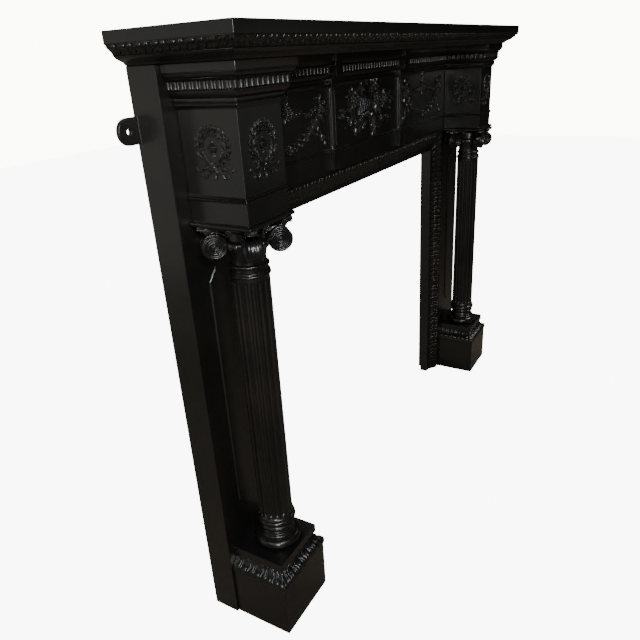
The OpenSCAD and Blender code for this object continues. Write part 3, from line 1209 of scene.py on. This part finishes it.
@dataclass
class Capital:
    """Ionic capital with four corner scrolls, a hollow-sided abacus and an egg band."""

    half: float = 63.0
    corner_cut: float = 10.0
    abacus: float = 9.0
    height: float = 84.0
    neck_r: float = 33.0
    scroll_reach: float = 57.0
    scroll_r: float = 22.3
    scroll_z: float = 48.0
    eggs: int = 20

    def _abacus(self) -> bmesh.types.BMesh:
        """Moulded slab with hollow sides and blunt corners.

        Returns:
            The slab, at its height on the capital.
        """
        mid = self.half * 0.72
        dip, chord = self.half - mid, self.half - self.corner_cut
        sweep = (chord ** 2 + dip ** 2) / (2 * dip)
        spread = math.asin(chord / sweep)
        bm = bmesh.new()
        corners = []
        for quarter in range(4):
            turn = Matrix.Rotation(quarter * math.tau / 4, 3, "Z")
            for i in range(13):
                a = blend(-spread, spread, i / 12)
                at = turn @ Vector((sweep * math.sin(a), -(mid + sweep - sweep * math.cos(a)), 0))
                corners.append(bm.verts.new(at))
        bm.faces.new(corners)
        bmesh.ops.recalc_face_normals(bm, faces=bm.faces)
        top = bm.faces[:]
        steps = (
            (0.93, 0.0), (0.955, 2.2), (0.985, 0.6), (1.0, 0.2), (1.0, 2.4), (0.982, 0.5), (1.0, 0.5),
            (1.0, 2.6),
        )
        size, z = 1.0, self.height - self.abacus
        bmesh.ops.translate(bm, vec=(0, 0, z), verts=bm.verts)
        for scale, rise in steps:
            made = bmesh.ops.extrude_face_region(bm, geom=top)["geom"]
            verts = [item for item in made if isinstance(item, bmesh.types.BMVert)]
            bmesh.ops.scale(bm, vec=(scale / size, scale / size, 1), verts=verts)
            bmesh.ops.translate(bm, vec=(0, 0, rise), verts=verts)
            top = [item for item in made if isinstance(item, bmesh.types.BMFace)]
            size = scale
        bmesh.ops.recalc_face_normals(bm, faces=bm.faces)
        return bm

    def _bell(self) -> bmesh.types.BMesh:
        """Neck, ring and bell.

        Returns:
            The turned core of the capital.
        """
        r, top = self.neck_r, self.height - self.abacus + 0.5
        return turned(
            [
                (0, -0.5), (r, -0.5), (r - 0.4, 4.0), (r - 0.2, 5.6),
                *arc((r - 0.2, 9.4), 3.4, -85, 85, 7),
                (r - 1.4, 13.6), (r - 1.8, 20), (r - 1.2, 27), (r + 0.5, 34),
                (r + 3.5, 39.0), (r + 3.8, 41.0), *arc((r + 1.2, 48.0), 8.0, -58, 62, 8),
                (r + 2.0, 57.0), (r + 1.0, top), (0, top),
            ],
            72,
        )

    def _channel(self) -> bmesh.types.BMesh:
        """Band that runs from the bell over the top of a scroll, as wide as the scroll.

        Returns:
            The band, with its thickness.
        """
        over = self.scroll_r + 1.8
        landing = math.radians(128)

        def place(u: float, v: float) -> tuple[float, float, float]:
            """Point of the band: its first part rises from the bell and the rest rides the scroll."""
            if v > 0.4:
                lift = math.radians(blend(168, 80, v))
                angle = math.radians(blend(128, 84, (v - 0.4) / 0.6))
                x = self.scroll_reach + over * math.cos(angle)
                z = self.scroll_z + over * math.sin(angle)
            else:
                lift = 0
                share = v / 0.4
                x = blend(24, self.scroll_reach + over * math.cos(landing), share)
                z = blend(self.scroll_z + 4, self.scroll_z + over * math.sin(landing), share ** 0.7)
            side = 2 * u - 1
            width = blend(10.5, 13.6, min(1.0, v * 2)) * (1 - 0.35 * max(0.0, v - 0.75) / 0.25)
            dish = 1.1 * (abs(side) ** 4) - 0.5 * math.cos(5 * math.pi * side) * (1 - side ** 4)
            return (x + dish * math.cos(lift) * 0.3, side * width, z + dish)

        bm = sheet(14, 16, place)
        bmesh.ops.recalc_face_normals(bm, faces=bm.faces)
        bmesh.ops.solidify(bm, geom=bm.faces[:], thickness=1.8)
        return bm

    def build(self, foundry: Foundry, name: str) -> bpy.types.Object:
        """Makes one capital.

        Args:
            foundry: makes the piece.
            name: left or right.

        Returns:
            The piece.
        """
        node = f"capital_{name}"
        low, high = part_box(node)
        bm = bmesh.new()
        Stamp(self._abacus()).press(bm, Matrix.Identity(4))
        Stamp(self._bell()).press(bm, Matrix.Identity(4))
        scroll = Stamp(Volute(self.scroll_r).stamp())
        curl = Volute(
            radius=7.2, half_width=11.0, turns=1.6, ridge=1.1, pinch=1.4, ribs=3, stretch=1.6,
            around=36, face=8, rim=12,
        )
        curl = Stamp(curl.stamp())
        channel = Stamp(self._channel())
        egg = Stamp(ball(4.6, (0, 0, 0), 1.45))
        flower = Stamp(blossom(9.5, 6))
        stand = Matrix.Rotation(math.radians(90), 4, "X")
        for i in range(4):
            diagonal = Matrix.Rotation(math.radians(45 + 90 * i), 4, "Z")
            at = Matrix.Translation((self.scroll_reach, 0, self.scroll_z))
            scroll.press(bm, diagonal @ at @ stand)
            horn = Matrix.Translation((self.scroll_reach + 4, 0, self.scroll_z + 27.0))
            curl.press(bm, diagonal @ horn @ Matrix.Rotation(math.radians(-8), 4, "Y") @ stand)
            channel.press(bm, diagonal)
            side = Matrix.Rotation(math.radians(90 * i), 4, "Z")
            at = (0, -self.half * 0.72 + 1.5, self.height - self.abacus / 2 - 1)
            flower.press(bm, side @ Matrix.Translation(at) @ stand)
        for i in range(self.eggs):
            turn = Matrix.Rotation(math.tau * (i + 0.5) / self.eggs, 4, "Z")
            egg.press(bm, turn @ Matrix.Translation((0, -self.neck_r - 5.6, 47.5)))
        bmesh.ops.recalc_face_normals(bm, faces=bm.faces)
        place = Matrix.Translation(((low.x + high.x) / 2, (low.y + high.y) / 2, low.z))
        bmesh.ops.transform(bm, matrix=place @ Matrix.Diagonal((MM, MM, MM, 1)), verts=bm.verts)
        return foundry.cast(f"scroll_capital_{name}", bm, Slot.CARVED, [node], sharp=math.radians(48))


# ---- Ornament stamps, flat and in millimetres: x across, y up, z out --------------------------


def petal(length: float, width: float, height: float, fold: float = 0.0) -> bmesh.types.BMesh:
    """Rounded petal or pointed leaf from the origin along +Y.

    Args:
        length: from root to tip.
        width: at its widest.
        height: how far it stands out.
        fold: share of the height that a crease down the middle takes away.

    Returns:
        The closed relief.
    """

    def place(u: float, v: float) -> tuple[float, float, float]:
        """Point of the petal's face."""
        side = 2 * u - 1
        half = width / 2 * (0.16 + 0.84 * math.sin(math.pi * min(1.0, 0.12 + 0.84 * v)) ** 0.8)
        dome = math.sqrt(max(0.0, 1 - (0.95 * side) ** 2)) - fold * bump(side, 0, 0.3)
        rise = 0.45 + 0.55 * math.sin(math.pi * min(1.0, v * 1.05)) + 0.25 * v
        return (half * side, length * v, max(0.15, height * dome * rise))

    return close_back(sheet(4, 5, place), 0.5)


def blossom(radius: float, petals: int) -> bmesh.types.BMesh:
    """Open flower: outer petals, inner petals and a round heart.

    Args:
        radius: outer radius.
        petals: petals in each ring.

    Returns:
        The relief.
    """
    bm = bmesh.new()
    outer = Stamp(petal(radius * 0.74, radius * 0.80, radius * 0.42, 0.25))
    inner = Stamp(petal(radius * 0.46, radius * 0.56, radius * 0.46, 0.2))
    for i in range(petals):
        turn = 360 / petals * i
        outer.press(bm, flat_place(0, 0, 0, turn) @ Matrix.Translation((0, radius * 0.26, 0)))
        between = flat_place(0, 0, radius * 0.12, turn + 180 / petals)
        inner.press(bm, between @ Matrix.Translation((0, radius * 0.1, 0)))
    Stamp(ball(radius * 0.27, (0, 0, radius * 0.50), 0.9)).press(bm, Matrix.Identity(4))
    return bm


def strap(
    knots: Sequence[tuple[float, float]], width: float, height: float, steps: int = 14,
    waves: float = 0.0, taper: float = 1.0, groove: float = 0.5,
) -> bmesh.types.BMesh:
    """Ribbon, stem or rod along a smooth curve.

    Args:
        knots: points that its middle passes.
        width: its width at the start.
        height: how far it stands out.
        steps: faces along it.
        waves: number of rises along it.
        taper: width at the end over width at the start.
        groove: share of the height that is lost along the middle.

    Returns:
        The closed relief.
    """
    path = smooth_path(knots, steps)

    def place(u: float, v: float) -> tuple[float, float, float]:
        """Point of the strap's face."""
        k = round(v * steps)
        ahead, behind = path[min(k + 1, steps)], path[max(k - 1, 0)]
        along = (ahead - behind).normalized()
        side = (2 * u - 1) * width / 2 * blend(1.0, taper, v)
        wave = 1 + 0.55 * math.sin(math.tau * waves * v) if waves else 1.0
        dome = math.sqrt(max(0.0, 1 - (0.9 * (2 * u - 1)) ** 2)) - groove * bump(2 * u - 1, 0, 0.4)
        rise = max(0.2, height * wave * (0.5 + 0.5 * dome))
        return (path[k].x + along.y * side, path[k].y - along.x * side, rise)

    return close_back(sheet(4, steps, place), 0.5)


class Ornament:
    """Stamps that the wreaths, garlands and trophy share, and the ways they are set."""

    def __init__(self) -> None:
        """Makes each stamp once."""
        self.laurel = Stamp(petal(10.5, 5.2, 3.6, 0.30))
        self.leaf = Stamp(petal(17, 9.0, 4.2, 0.40))
        self.bloom = Stamp(blossom(10, 6))
        self.small_bloom = Stamp(blossom(6, 5))
        self.berry = Stamp(ball(1.9, (0, 0, 0.6)))
        self.husk = self._husk()

    @staticmethod
    def _husk() -> Stamp:
        """Bell-shaped husk of three petals that points along -Y.

        Returns:
            The husk.
        """
        bm = bmesh.new()
        side, middle = Stamp(petal(15, 8.0, 5.0, 0.2)), Stamp(petal(18, 8.4, 7.2, 0.15))
        for turn in (146, 214):
            side.press(bm, flat_place(0, 0, 0, turn))
        middle.press(bm, flat_place(0, 0, 0.4, 180))
        Stamp(ball(4.4, (0, 0, 3.0), 0.9)).press(bm, Matrix.Identity(4))
        return Stamp(bm)

    def bunch(
        self, bm: bmesh.types.BMesh, at: tuple[float, float], spread: tuple[float, float], seed: int,
        size: float = 1.0,
    ) -> None:
        """Bunch of flowers, leaves and berries.

        Args:
            bm: mesh that takes it.
            at: its middle.
            spread: half its width and half its height.
            seed: fixes the small differences.
            size: scale of its flowers.
        """
        chance = random.Random(seed)
        golden = math.pi * (3 - math.sqrt(5))
        for i in range(11):
            a = math.tau * i / 11 + chance.uniform(-0.15, 0.15)
            x, y = at[0] + 0.62 * spread[0] * math.cos(a), at[1] + 0.62 * spread[1] * math.sin(a)
            turn = math.degrees(math.atan2(spread[1] * math.sin(a), spread[0] * math.cos(a))) - 90
            turn += chance.uniform(-12, 12)
            self.leaf.press(bm, flat_place(x, y, 0.2, turn, size * chance.uniform(0.8, 1.05)))
        self.bloom.press(bm, flat_place(at[0], at[1], 2.4, chance.uniform(0, 60), size * 0.95))
        for i in range(1, 7):
            r = math.sqrt(i / 6.0)
            a = golden * i + seed
            x, y = at[0] + 0.72 * spread[0] * r * math.cos(a), at[1] + 0.72 * spread[1] * r * math.sin(a)
            turn = chance.uniform(0, 72)
            self.small_bloom.press(bm, flat_place(x, y, 2.0, turn, size * chance.uniform(0.9, 1.15)))
        for i in range(9):
            a = golden * i * 1.7 + seed * 2
            x, y = at[0] + 0.95 * spread[0] * math.cos(a), at[1] + 0.95 * spread[1] * math.sin(a)
            self.berry.press(bm, flat_place(x, y, 1.0, 0, size * chance.uniform(0.8, 1.15)))


@dataclass
class Wreath:
    """Laurel wreath tied with a bow, round a small urn."""

    radius: float = 28.5
    stations: int = 11
    tall: float = 1.02

    def build(self, ornament: Ornament) -> Stamp:
        """Builds the wreath about its own middle.

        Args:
            ornament: the shared stamps.

        Returns:
            The wreath as a stamp.
        """
        bm = bmesh.new()
        for hand in (-1, 1):
            flip = Matrix.Identity(4) if hand > 0 else MIRROR
            for k in range(self.stations):
                a = math.radians(blend(-82, 84, k / (self.stations - 1)))
                lift = 0.5 + 0.5 * (k % 2)
                leaves = ((-40, 3.3, 0.95), (40, -3.1, 0.88), (0, 0.0, 0.9))
                for splay, offset, size in leaves[: 2 + k % 2]:
                    r = self.radius + offset
                    x, y = r * math.cos(a), r * math.sin(a) * self.tall
                    turn = math.degrees(a) + splay
                    height = 1.0 + lift if splay == 0 else 0.2
                    ornament.laurel.press(bm, flip @ flat_place(x, y, height, turn, size))
                if k % 3 == 1:
                    for offset in (-5.2, 5.4):
                        r = self.radius + offset
                        x, y = r * math.cos(a), r * math.sin(a) * self.tall
                        ornament.berry.press(bm, flip @ flat_place(x, y, 0.8, 0, 0.85))
            for knots, width, waves in (
                (((0, -30), (9, -25), (17, -27), (11, -34), (1, -31)), 4.4, 1.0),
                (((1, -32), (11, -37), (20, -33), (30, -39), (40, -34)), 4.2, 2.5),
                (((1, -32), (7, -41), (15, -42), (22, -50), (29, -47)), 3.8, 2.0),
            ):
                Stamp(strap(knots, width, 2.6, 16, waves)).press(bm, flip)
            for x, y in ((40.5, -34.5), (29.5, -47.5)):
                Stamp(petal(5.5, 5.0, 2.2, 0.5)).press(bm, flip @ flat_place(x - 2, y + 2.4, 0, -125))
        Stamp(strap(((0, -31), (0.6, -40), (0, -53)), 4.6, 3.0, 8, 1.5)).press(bm, Matrix.Identity(4))
        Stamp(ball(4.0, (0, -31, 1.6), 0.9)).press(bm, Matrix.Identity(4))
        self._urn(bm)
        return Stamp(bm)

    @staticmethod
    def _urn(bm: bmesh.types.BMesh) -> None:
        """Small round urn with a ball on its lid, half sunk in the face.

        Args:
            bm: mesh that takes it.
        """
        outline = [
            (0, -11), (4.6, -11), (4.6, -9.6), (1.9, -8.4), (1.7, -6.8), *arc((0, -0.5), 7.0, -62, 8, 6),
            (7.6, 0.9), (7.6, 2.0), (5.4, 3.0), (3.0, 4.6), (1.6, 5.4), *arc((0, 7.9), 2.9, -60, 90, 5),
        ]
        lie = Matrix.Diagonal((1, 1, 0.62, 1)) @ Matrix.Rotation(math.radians(-90), 4, "X")
        larger = Matrix.Diagonal((1.3, 1.2, 1.15, 1))
        Stamp(turned(outline, 16)).press(bm, Matrix.Translation((0, 1, 0.4)) @ larger @ lie)


class BlockWreaths:
    """A wreath on each free face of both end blocks."""

    CORONA = 24 * MM
    UP = 0.128
    BEHIND = 0.055

    def build(self, foundry: Foundry, ornament: Ornament) -> None:
        """Sets three wreaths on each block, one piece a block.

        Args:
            foundry: makes the pieces.
            ornament: the shared stamps.
        """
        wreath = Wreath().build(ornament)
        for name in SIDES:
            low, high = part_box(f"end_block_{name}")
            middle, front = (low.x + high.x) / 2, low.y + self.CORONA
            half = (high.x - low.x) / 2 - self.CORONA
            z = low.z + self.UP
            bm = bmesh.new()
            for origin, out, size in (
                ((middle, front, z), (0, -1, 0), 1.0),
                ((middle - half, front + self.BEHIND, z), (-1, 0, 0), 0.92),
                ((middle + half, front + self.BEHIND, z), (1, 0, 0), 0.92),
            ):
                wreath.press(bm, on_face(origin, out) @ flat_place(0, 0, 0, 0, size))
            foundry.cast(f"wreaths_{name}", bm, Slot.CARVED, sharp=math.radians(60))


@dataclass
class FriezeCarving:
    """Garlands on the side panels and the trophy in the middle of the frieze."""

    ornament: Ornament
    middle_z: float = 989.5
    outward: float = 1.0

    def _garland(self, bm: bmesh.types.BMesh) -> None:
        """Festoon between two bunches, about the middle of the right panel.

        Args:
            bm: mesh that takes it.
        """
        o = self.ornament
        o.bunch(bm, (-130, 27), (34, 23), 3)
        o.bunch(bm, (130, 27), (34, 23), 5)
        o.bunch(bm, (0, 29), (19, 16), 8, 0.85)
        for x, y, turn in ((0, 52, 0), (-4, 62, 20), (4, 60, -20), (0, 70, 0)):
            o.laurel.press(bm, flat_place(x, y - 6, 0.6, turn))
        for hand in (-1, 1):
            flip = Matrix.Identity(4) if hand > 0 else MIRROR
            drop = smooth_path(((109, 4), (93, -9), (75, -21), (54, -31), (33, -38), (17, -42)), 5)
            for i, at in enumerate(drop):
                ahead = drop[min(i + 1, 5)] - drop[max(i - 1, 0)]
                turn = math.degrees(math.atan2(ahead.y, ahead.x)) + 90
                o.husk.press(bm, flip @ flat_place(at.x, at.y, 0.6, turn, blend(1.15, 0.95, i / 5)))
            link = smooth_path(((92, 16), (73, 19), (54, 24), (36, 22), (20, 27)), 5)
            for i, at in enumerate(link):
                for splay in (-34, 34):
                    o.laurel.press(bm, flip @ flat_place(at.x, at.y, 0.3, 90 + splay, 1.0))
                o.berry.press(bm, flip @ flat_place(at.x - 2, at.y, 2.2, 0, 1.5))
            tail = smooth_path(((118, 0), (122, -14), (134, -27), (146, -38), (144, -50)), 6)
            for i, at in enumerate(tail):
                o.leaf.press(bm, flip @ flat_place(at.x, at.y, 0.4, 200 + 34 * (-1) ** i, 0.72))
            for x, y in ((112, -26), (134, -40)):
                o.small_bloom.press(bm, flip @ flat_place(x, y, 0.8, 30 * x, 0.8))
        o.bloom.press(bm, flat_place(0, -45, 1.6, 10, 1.0))
        for turn in range(0, 360, 45):
            o.laurel.press(bm, flat_place(0, -45, 0, turn, 1.05))

    def _rods(self, bm: bmesh.types.BMesh) -> None:
        """Crossed torch and quiver with a sheaf of pipes between them.

        Args:
            bm: mesh that takes them.
        """
        for knots, width, height, taper, groove in (
            (((-58, -46), (-6, 4), (44, 52)), 8.0, 6.0, 1.5, 0.2),
            (((60, -46), (12, 2), (-36, 46)), 14.0, 7.0, 0.8, 0.3),
            (((-50, -5), (-20, 1), (10, 8)), 5.0, 9.0, 1.0, 0.0),
        ):
            Stamp(strap(knots, width, height, 16, 0, taper, groove)).press(bm, Matrix.Identity(4))
        for k in range(-2, 3):
            shaft = ((-34 + 4 * k, 44 + 2.5 * k), (-44 + 4 * k, 56 + 2.5 * k))
            reed = ((-36 + 12 * k, -10 + abs(k)), (-20 + 12 * k, 27 - 2 * k))
            arrow = strap(shaft, 3.0, 3.4, 4, 0, 1.0, 0)
            pipe = strap(reed, 7.0, 8.5, 5, 0, 1.0, 0)
            for shape in (arrow, pipe):
                Stamp(shape).press(bm, Matrix.Identity(4))

    def _basket(self, bm: bmesh.types.BMesh) -> None:
        """Small woven basket under the left bunch.

        Args:
            bm: mesh that takes them.
        """
        def place(u: float, v: float) -> tuple[float, float, float]:
            """Point of the basket's woven face."""
            weave = 1.2 * math.sin(14 * math.pi * u) * math.cos(8 * math.pi * v)
            swell = 7.0 * math.sqrt(max(0.0, 1 - (0.95 * (2 * u - 1)) ** 2))
            return (-80 + (2 * u - 1) * blend(11, 18, v), -14 + 24 * v, 1 + swell + weave)

        Stamp(close_back(sheet(14, 8, place), 0.5)).press(bm, Matrix.Identity(4))
        rim = strap(((-101, 11), (-80, 9), (-59, 11)), 4.5, 8.8, 8, 4, 1.0, 0)
        Stamp(rim).press(bm, Matrix.Identity(4))

    def _trophy(self, bm: bmesh.types.BMesh) -> None:
        """Rods, a basket of flowers, bunches, leaf sprays and ribbons.

        Args:
            bm: mesh that takes them.
        """
        o = self.ornament
        self._rods(bm)
        self._basket(bm)
        for seed, (at, spread, size) in enumerate((
            ((-78, 32), (28, 19), 1.0), ((38, 46), (24, 17), 0.95), ((48, 22), (24, 17), 1.0),
            ((92, 18), (26, 15), 0.85), ((30, -24), (15, 13), 0.8), ((30, -46), (12, 13), 0.75),
            ((-30, -26), (17, 11), 0.75), ((-30, 48), (14, 10), 0.7),
        )):
            o.bunch(bm, at, spread, 11 + 3 * seed, size)
        for x, y, turn, size in (
            (108, 30, 215, 1.5), (42, 14, 175, 1.5), (60, 0, 215, 1.3), (24, 2, 150, 1.2),
            (70, 60, -60, 1.1),
            (-2, 58, 30, 1.1), (-70, -14, 190, 1.2), (-72, -32, 170, 1.2), (-92, -12, 150, 1.0),
            (-120, 6, 70, 1.1), (-122, -2, 110, 1.1), (-136, -6, 80, 1.0), (72, -20, 240, 1.1),
            (100, -24, 250, 1.1),
            (20, 58, 10, 1.1), (50, 62, -20, 1.0),
        ):
            o.leaf.press(bm, flat_place(x, y, 1.0, turn, size))
        for x, y, size in (
            (-72, -20, 1.3), (-70, -42, 1.0), (88, 8, 1.2), (72, -26, 1.2), (112, -28, 1.2),
            (-138, -2, 1.1), (-112, -10, 1.1), (-128, 8, 1.0), (134, 8, 1.0), (126, -6, 0.9),
            (-46, -16, 1.0), (-14, -12, 1.0),
        ):
            o.small_bloom.press(bm, flat_place(x, y, 1.4, 30 * x, size))
        for i, at in enumerate(smooth_path(((112, 26), (126, 32), (140, 22)), 3)):
            o.leaf.press(bm, flat_place(at.x, at.y, 0.4, -90 + 40 * (-1) ** i, 0.8))
        for knots in (
            ((-44, -34), (-60, -24), (-80, -32), (-104, -22), (-126, -30)),
            ((56, -34), (76, -38), (94, -30), (116, -38), (134, -28)),
            ((-100, 6), (-112, 12), (-126, 4), (-146, 12)),
        ):
            Stamp(strap(knots, 5.6, 3.4, 22, 3, 0.8)).press(bm, Matrix.Identity(4))

    def build(self, foundry: Foundry) -> None:
        """Makes the three panels of carving.

        Args:
            foundry: makes the pieces.
        """
        face_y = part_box("end_block_left")[1].y
        inner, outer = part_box("colonnette_right")[0].x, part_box("end_block_right")[0].x + BlockWreaths.CORONA
        middle = (inner + outer) / 2 + self.outward * MM
        z = self.middle_z * MM
        for name, side in SIDES.items():
            bm = bmesh.new()
            self._garland(bm)
            place = on_face((side * middle, face_y, z), (0, -1, 0))
            if side < 0:
                place = place @ MIRROR
                bmesh.ops.reverse_faces(bm, faces=bm.faces)
            bmesh.ops.transform(bm, matrix=place, verts=bm.verts)
            foundry.cast(f"garland_{name}", bm, Slot.CARVED, sharp=math.radians(60))
        bm = bmesh.new()
        self._trophy(bm)
        bmesh.ops.transform(bm, matrix=on_face((0, face_y, z), (0, -1, 0)), verts=bm.verts)
        foundry.cast("trophy", bm, Slot.CARVED, sharp=math.radians(60))


# ---- Studio ---------------------------------------------------------------------------------


@dataclass(frozen=True)
class Lamp:
    """A round area light. Its spread is in degrees."""

    name: str
    place: tuple[float, float, float]
    aim: tuple[float, float, float]
    size: float
    power: float
    spread: float
    tint: Colour

    def hang(self) -> None:
        """Sets the lamp in the scene, out of the camera's sight."""
        data = bpy.data.lights.new(self.name, "AREA")
        data.shape = "DISK"
        data.size = self.size
        data.energy = self.power
        data.color = self.tint
        data.spread = math.radians(self.spread)
        lamp = bpy.data.objects.new(self.name, data)
        lamp.location = self.place
        lamp.visible_camera = False
        way = Vector(self.aim) - Vector(self.place)
        lamp.rotation_euler = way.to_track_quat("-Z", "Y").to_euler()
        bpy.context.scene.collection.objects.link(lamp)


@dataclass
class Studio:
    """Floor that the camera sees pale, soft lights and the camera."""

    LAMPS = (
        Lamp("key", (-2.95, -1.50, 1.32), (-0.2, 0.0, 0.8), 0.5, 30.0, 180, (1.0, 0.98, 0.95)),
        Lamp("window", (-1.75, -1.45, 2.0), (-0.68, -0.05, 1.05), 0.8, 3.6, 60, (0.84, 0.92, 1.0)),
        Lamp("side", (-3.2, 0.2, 2.4), (-0.7, 0.0, 1.1), 1.2, 1.2, 60, (1.0, 0.98, 0.92)),
        Lamp("left_card", (-2.5, 1.8, 0.75), (-0.7, 0.06, 1.0), 2.2, 4.4, 180, (1.0, 1.0, 0.92)),
        Lamp("right_card", (0.6, -1.0, 0.95), (-0.6, -0.1, 1.0), 0.6, 0.14, 180, (1.0, 1.0, 0.93)),
        Lamp("behind", (0.9, 3.2, 2.0), (0.0, 0.1, 0.6), 2.4, 60.0, 180, (1.0, 1.0, 0.98)),
        Lamp("far_end", (1.3, -1.0, 1.7), (0.7, -0.2, 0.2), 0.6, 1.2, 60, (1.0, 0.97, 0.92)),
    )

    eye: Vector = field(default_factory=lambda: Vector((-1.4324, -0.6377, 1.1218)))
    right: Vector = field(default_factory=lambda: Vector((0.4986, -0.8650, -0.0560)))
    up: Vector = field(default_factory=lambda: Vector((0.3741, 0.1565, 0.9141)))
    lens: float = 34.0
    floor_size: float = 14.0
    floor_glow: float = 9.0
    sky_glow: float = 11.0
    room_glow: float = 0.055
    corner_share: float = 0.15
    dark_corner: tuple[float, float, float] = (0.90, -0.43, 0.0)

    def build(self) -> None:
        """Makes the whole studio."""
        self._floor()
        self._world()
        for lamp in self.LAMPS:
            lamp.hang()
        self._camera()

    def _floor(self) -> None:
        """Plain floor: pale to the camera, and a dim brown in what the gloss mirrors."""
        bm = bmesh.new()
        bmesh.ops.create_grid(bm, x_segments=1, y_segments=1, size=self.floor_size / 2)
        mesh = bpy.data.meshes.new("floor")
        bm.to_mesh(mesh)
        bm.free()
        floor = bpy.data.objects.new("floor", mesh)
        bpy.context.scene.collection.objects.link(floor)
        paint = bpy.data.materials.new("pale_floor")
        paint.use_nodes = True
        kit = NodeKit(paint.node_tree)
        shader = paint.node_tree.nodes["Principled BSDF"]
        shader.inputs["Base Color"].default_value = (0.25, 0.21, 0.165, 1)
        shader.inputs["Roughness"].default_value = 0.8
        shader.inputs["Specular IOR Level"].default_value = 0.1
        shader.inputs["Emission Color"].default_value = (1.0, 1.0, 1.0, 1)
        path = kit.add("ShaderNodeLightPath")
        glow = kit.math("MULTIPLY", path.outputs["Is Camera Ray"], self.floor_glow)
        kit.link(glow, shader.inputs["Emission Strength"])
        floor.data.materials.append(paint)

    def _world(self) -> None:
        """Surroundings: even and pale to the camera, and a dim room in what the gloss mirrors.

        The room is darkest towards the front right.
        """
        world = bpy.data.worlds.new("studio")
        world.use_nodes = True
        kit = NodeKit(world.node_tree)
        shade = world.node_tree.nodes["Background"]
        shade.inputs["Color"].default_value = (0.98, 1.0, 0.93, 1)
        path = kit.add("ShaderNodeLightPath")
        around = kit.add("ShaderNodeTexCoord")
        facing = kit.add("ShaderNodeVectorMath", operation="DOT_PRODUCT")
        facing.inputs[1].default_value = self.dark_corner
        kit.link(around.outputs["Generated"], facing.inputs[0])
        dusk = kit.add("ShaderNodeMapRange", interpolation_type="SMOOTHSTEP")
        dusk.inputs["From Min"].default_value = 0.45
        dusk.inputs["From Max"].default_value = 0.9
        dusk.inputs["To Min"].default_value = self.room_glow
        dusk.inputs["To Max"].default_value = self.room_glow * self.corner_share
        kit.link(facing.outputs["Value"], dusk.inputs["Value"])
        power = kit.add("ShaderNodeMapRange")
        power.inputs["To Max"].default_value = self.sky_glow
        kit.link(path.outputs["Is Camera Ray"], power.inputs["Value"])
        kit.link(dusk.outputs["Result"], power.inputs["To Min"])
        kit.link(power.outputs["Result"], shade.inputs["Strength"])
        bpy.context.scene.world = world

    def _camera(self) -> None:
        """Camera at eye height by the left end, looking along the front and down."""
        data = bpy.data.cameras.new("camera")
        data.lens = self.lens
        data.sensor_width = 36.0
        camera = bpy.data.objects.new("camera", data)
        right = self.right.normalized()
        back = right.cross(self.up).normalized()
        turn = Matrix((right, back.cross(right), back)).transposed().to_4x4()
        camera.matrix_world = Matrix.Translation(self.eye) @ turn
        bpy.context.scene.collection.objects.link(camera)
        bpy.context.scene.camera = camera


def main() -> None:
    """Builds the surround and its studio, in order."""
    logging.basicConfig(level=logging.INFO, format="%(message)s")
    foundry = Foundry(Paintwork())
    Entablature().build(foundry)
    for name in SIDES:
        ColumnBase().build(foundry, name)
        FlutedShaft().build(foundry, name)
        Capital().build(foundry, name)
    ornament = Ornament()
    BlockWreaths().build(foundry, ornament)
    FriezeCarving(ornament).build(foundry)
    Studio().build()


if __name__ == "__main__":
    main()
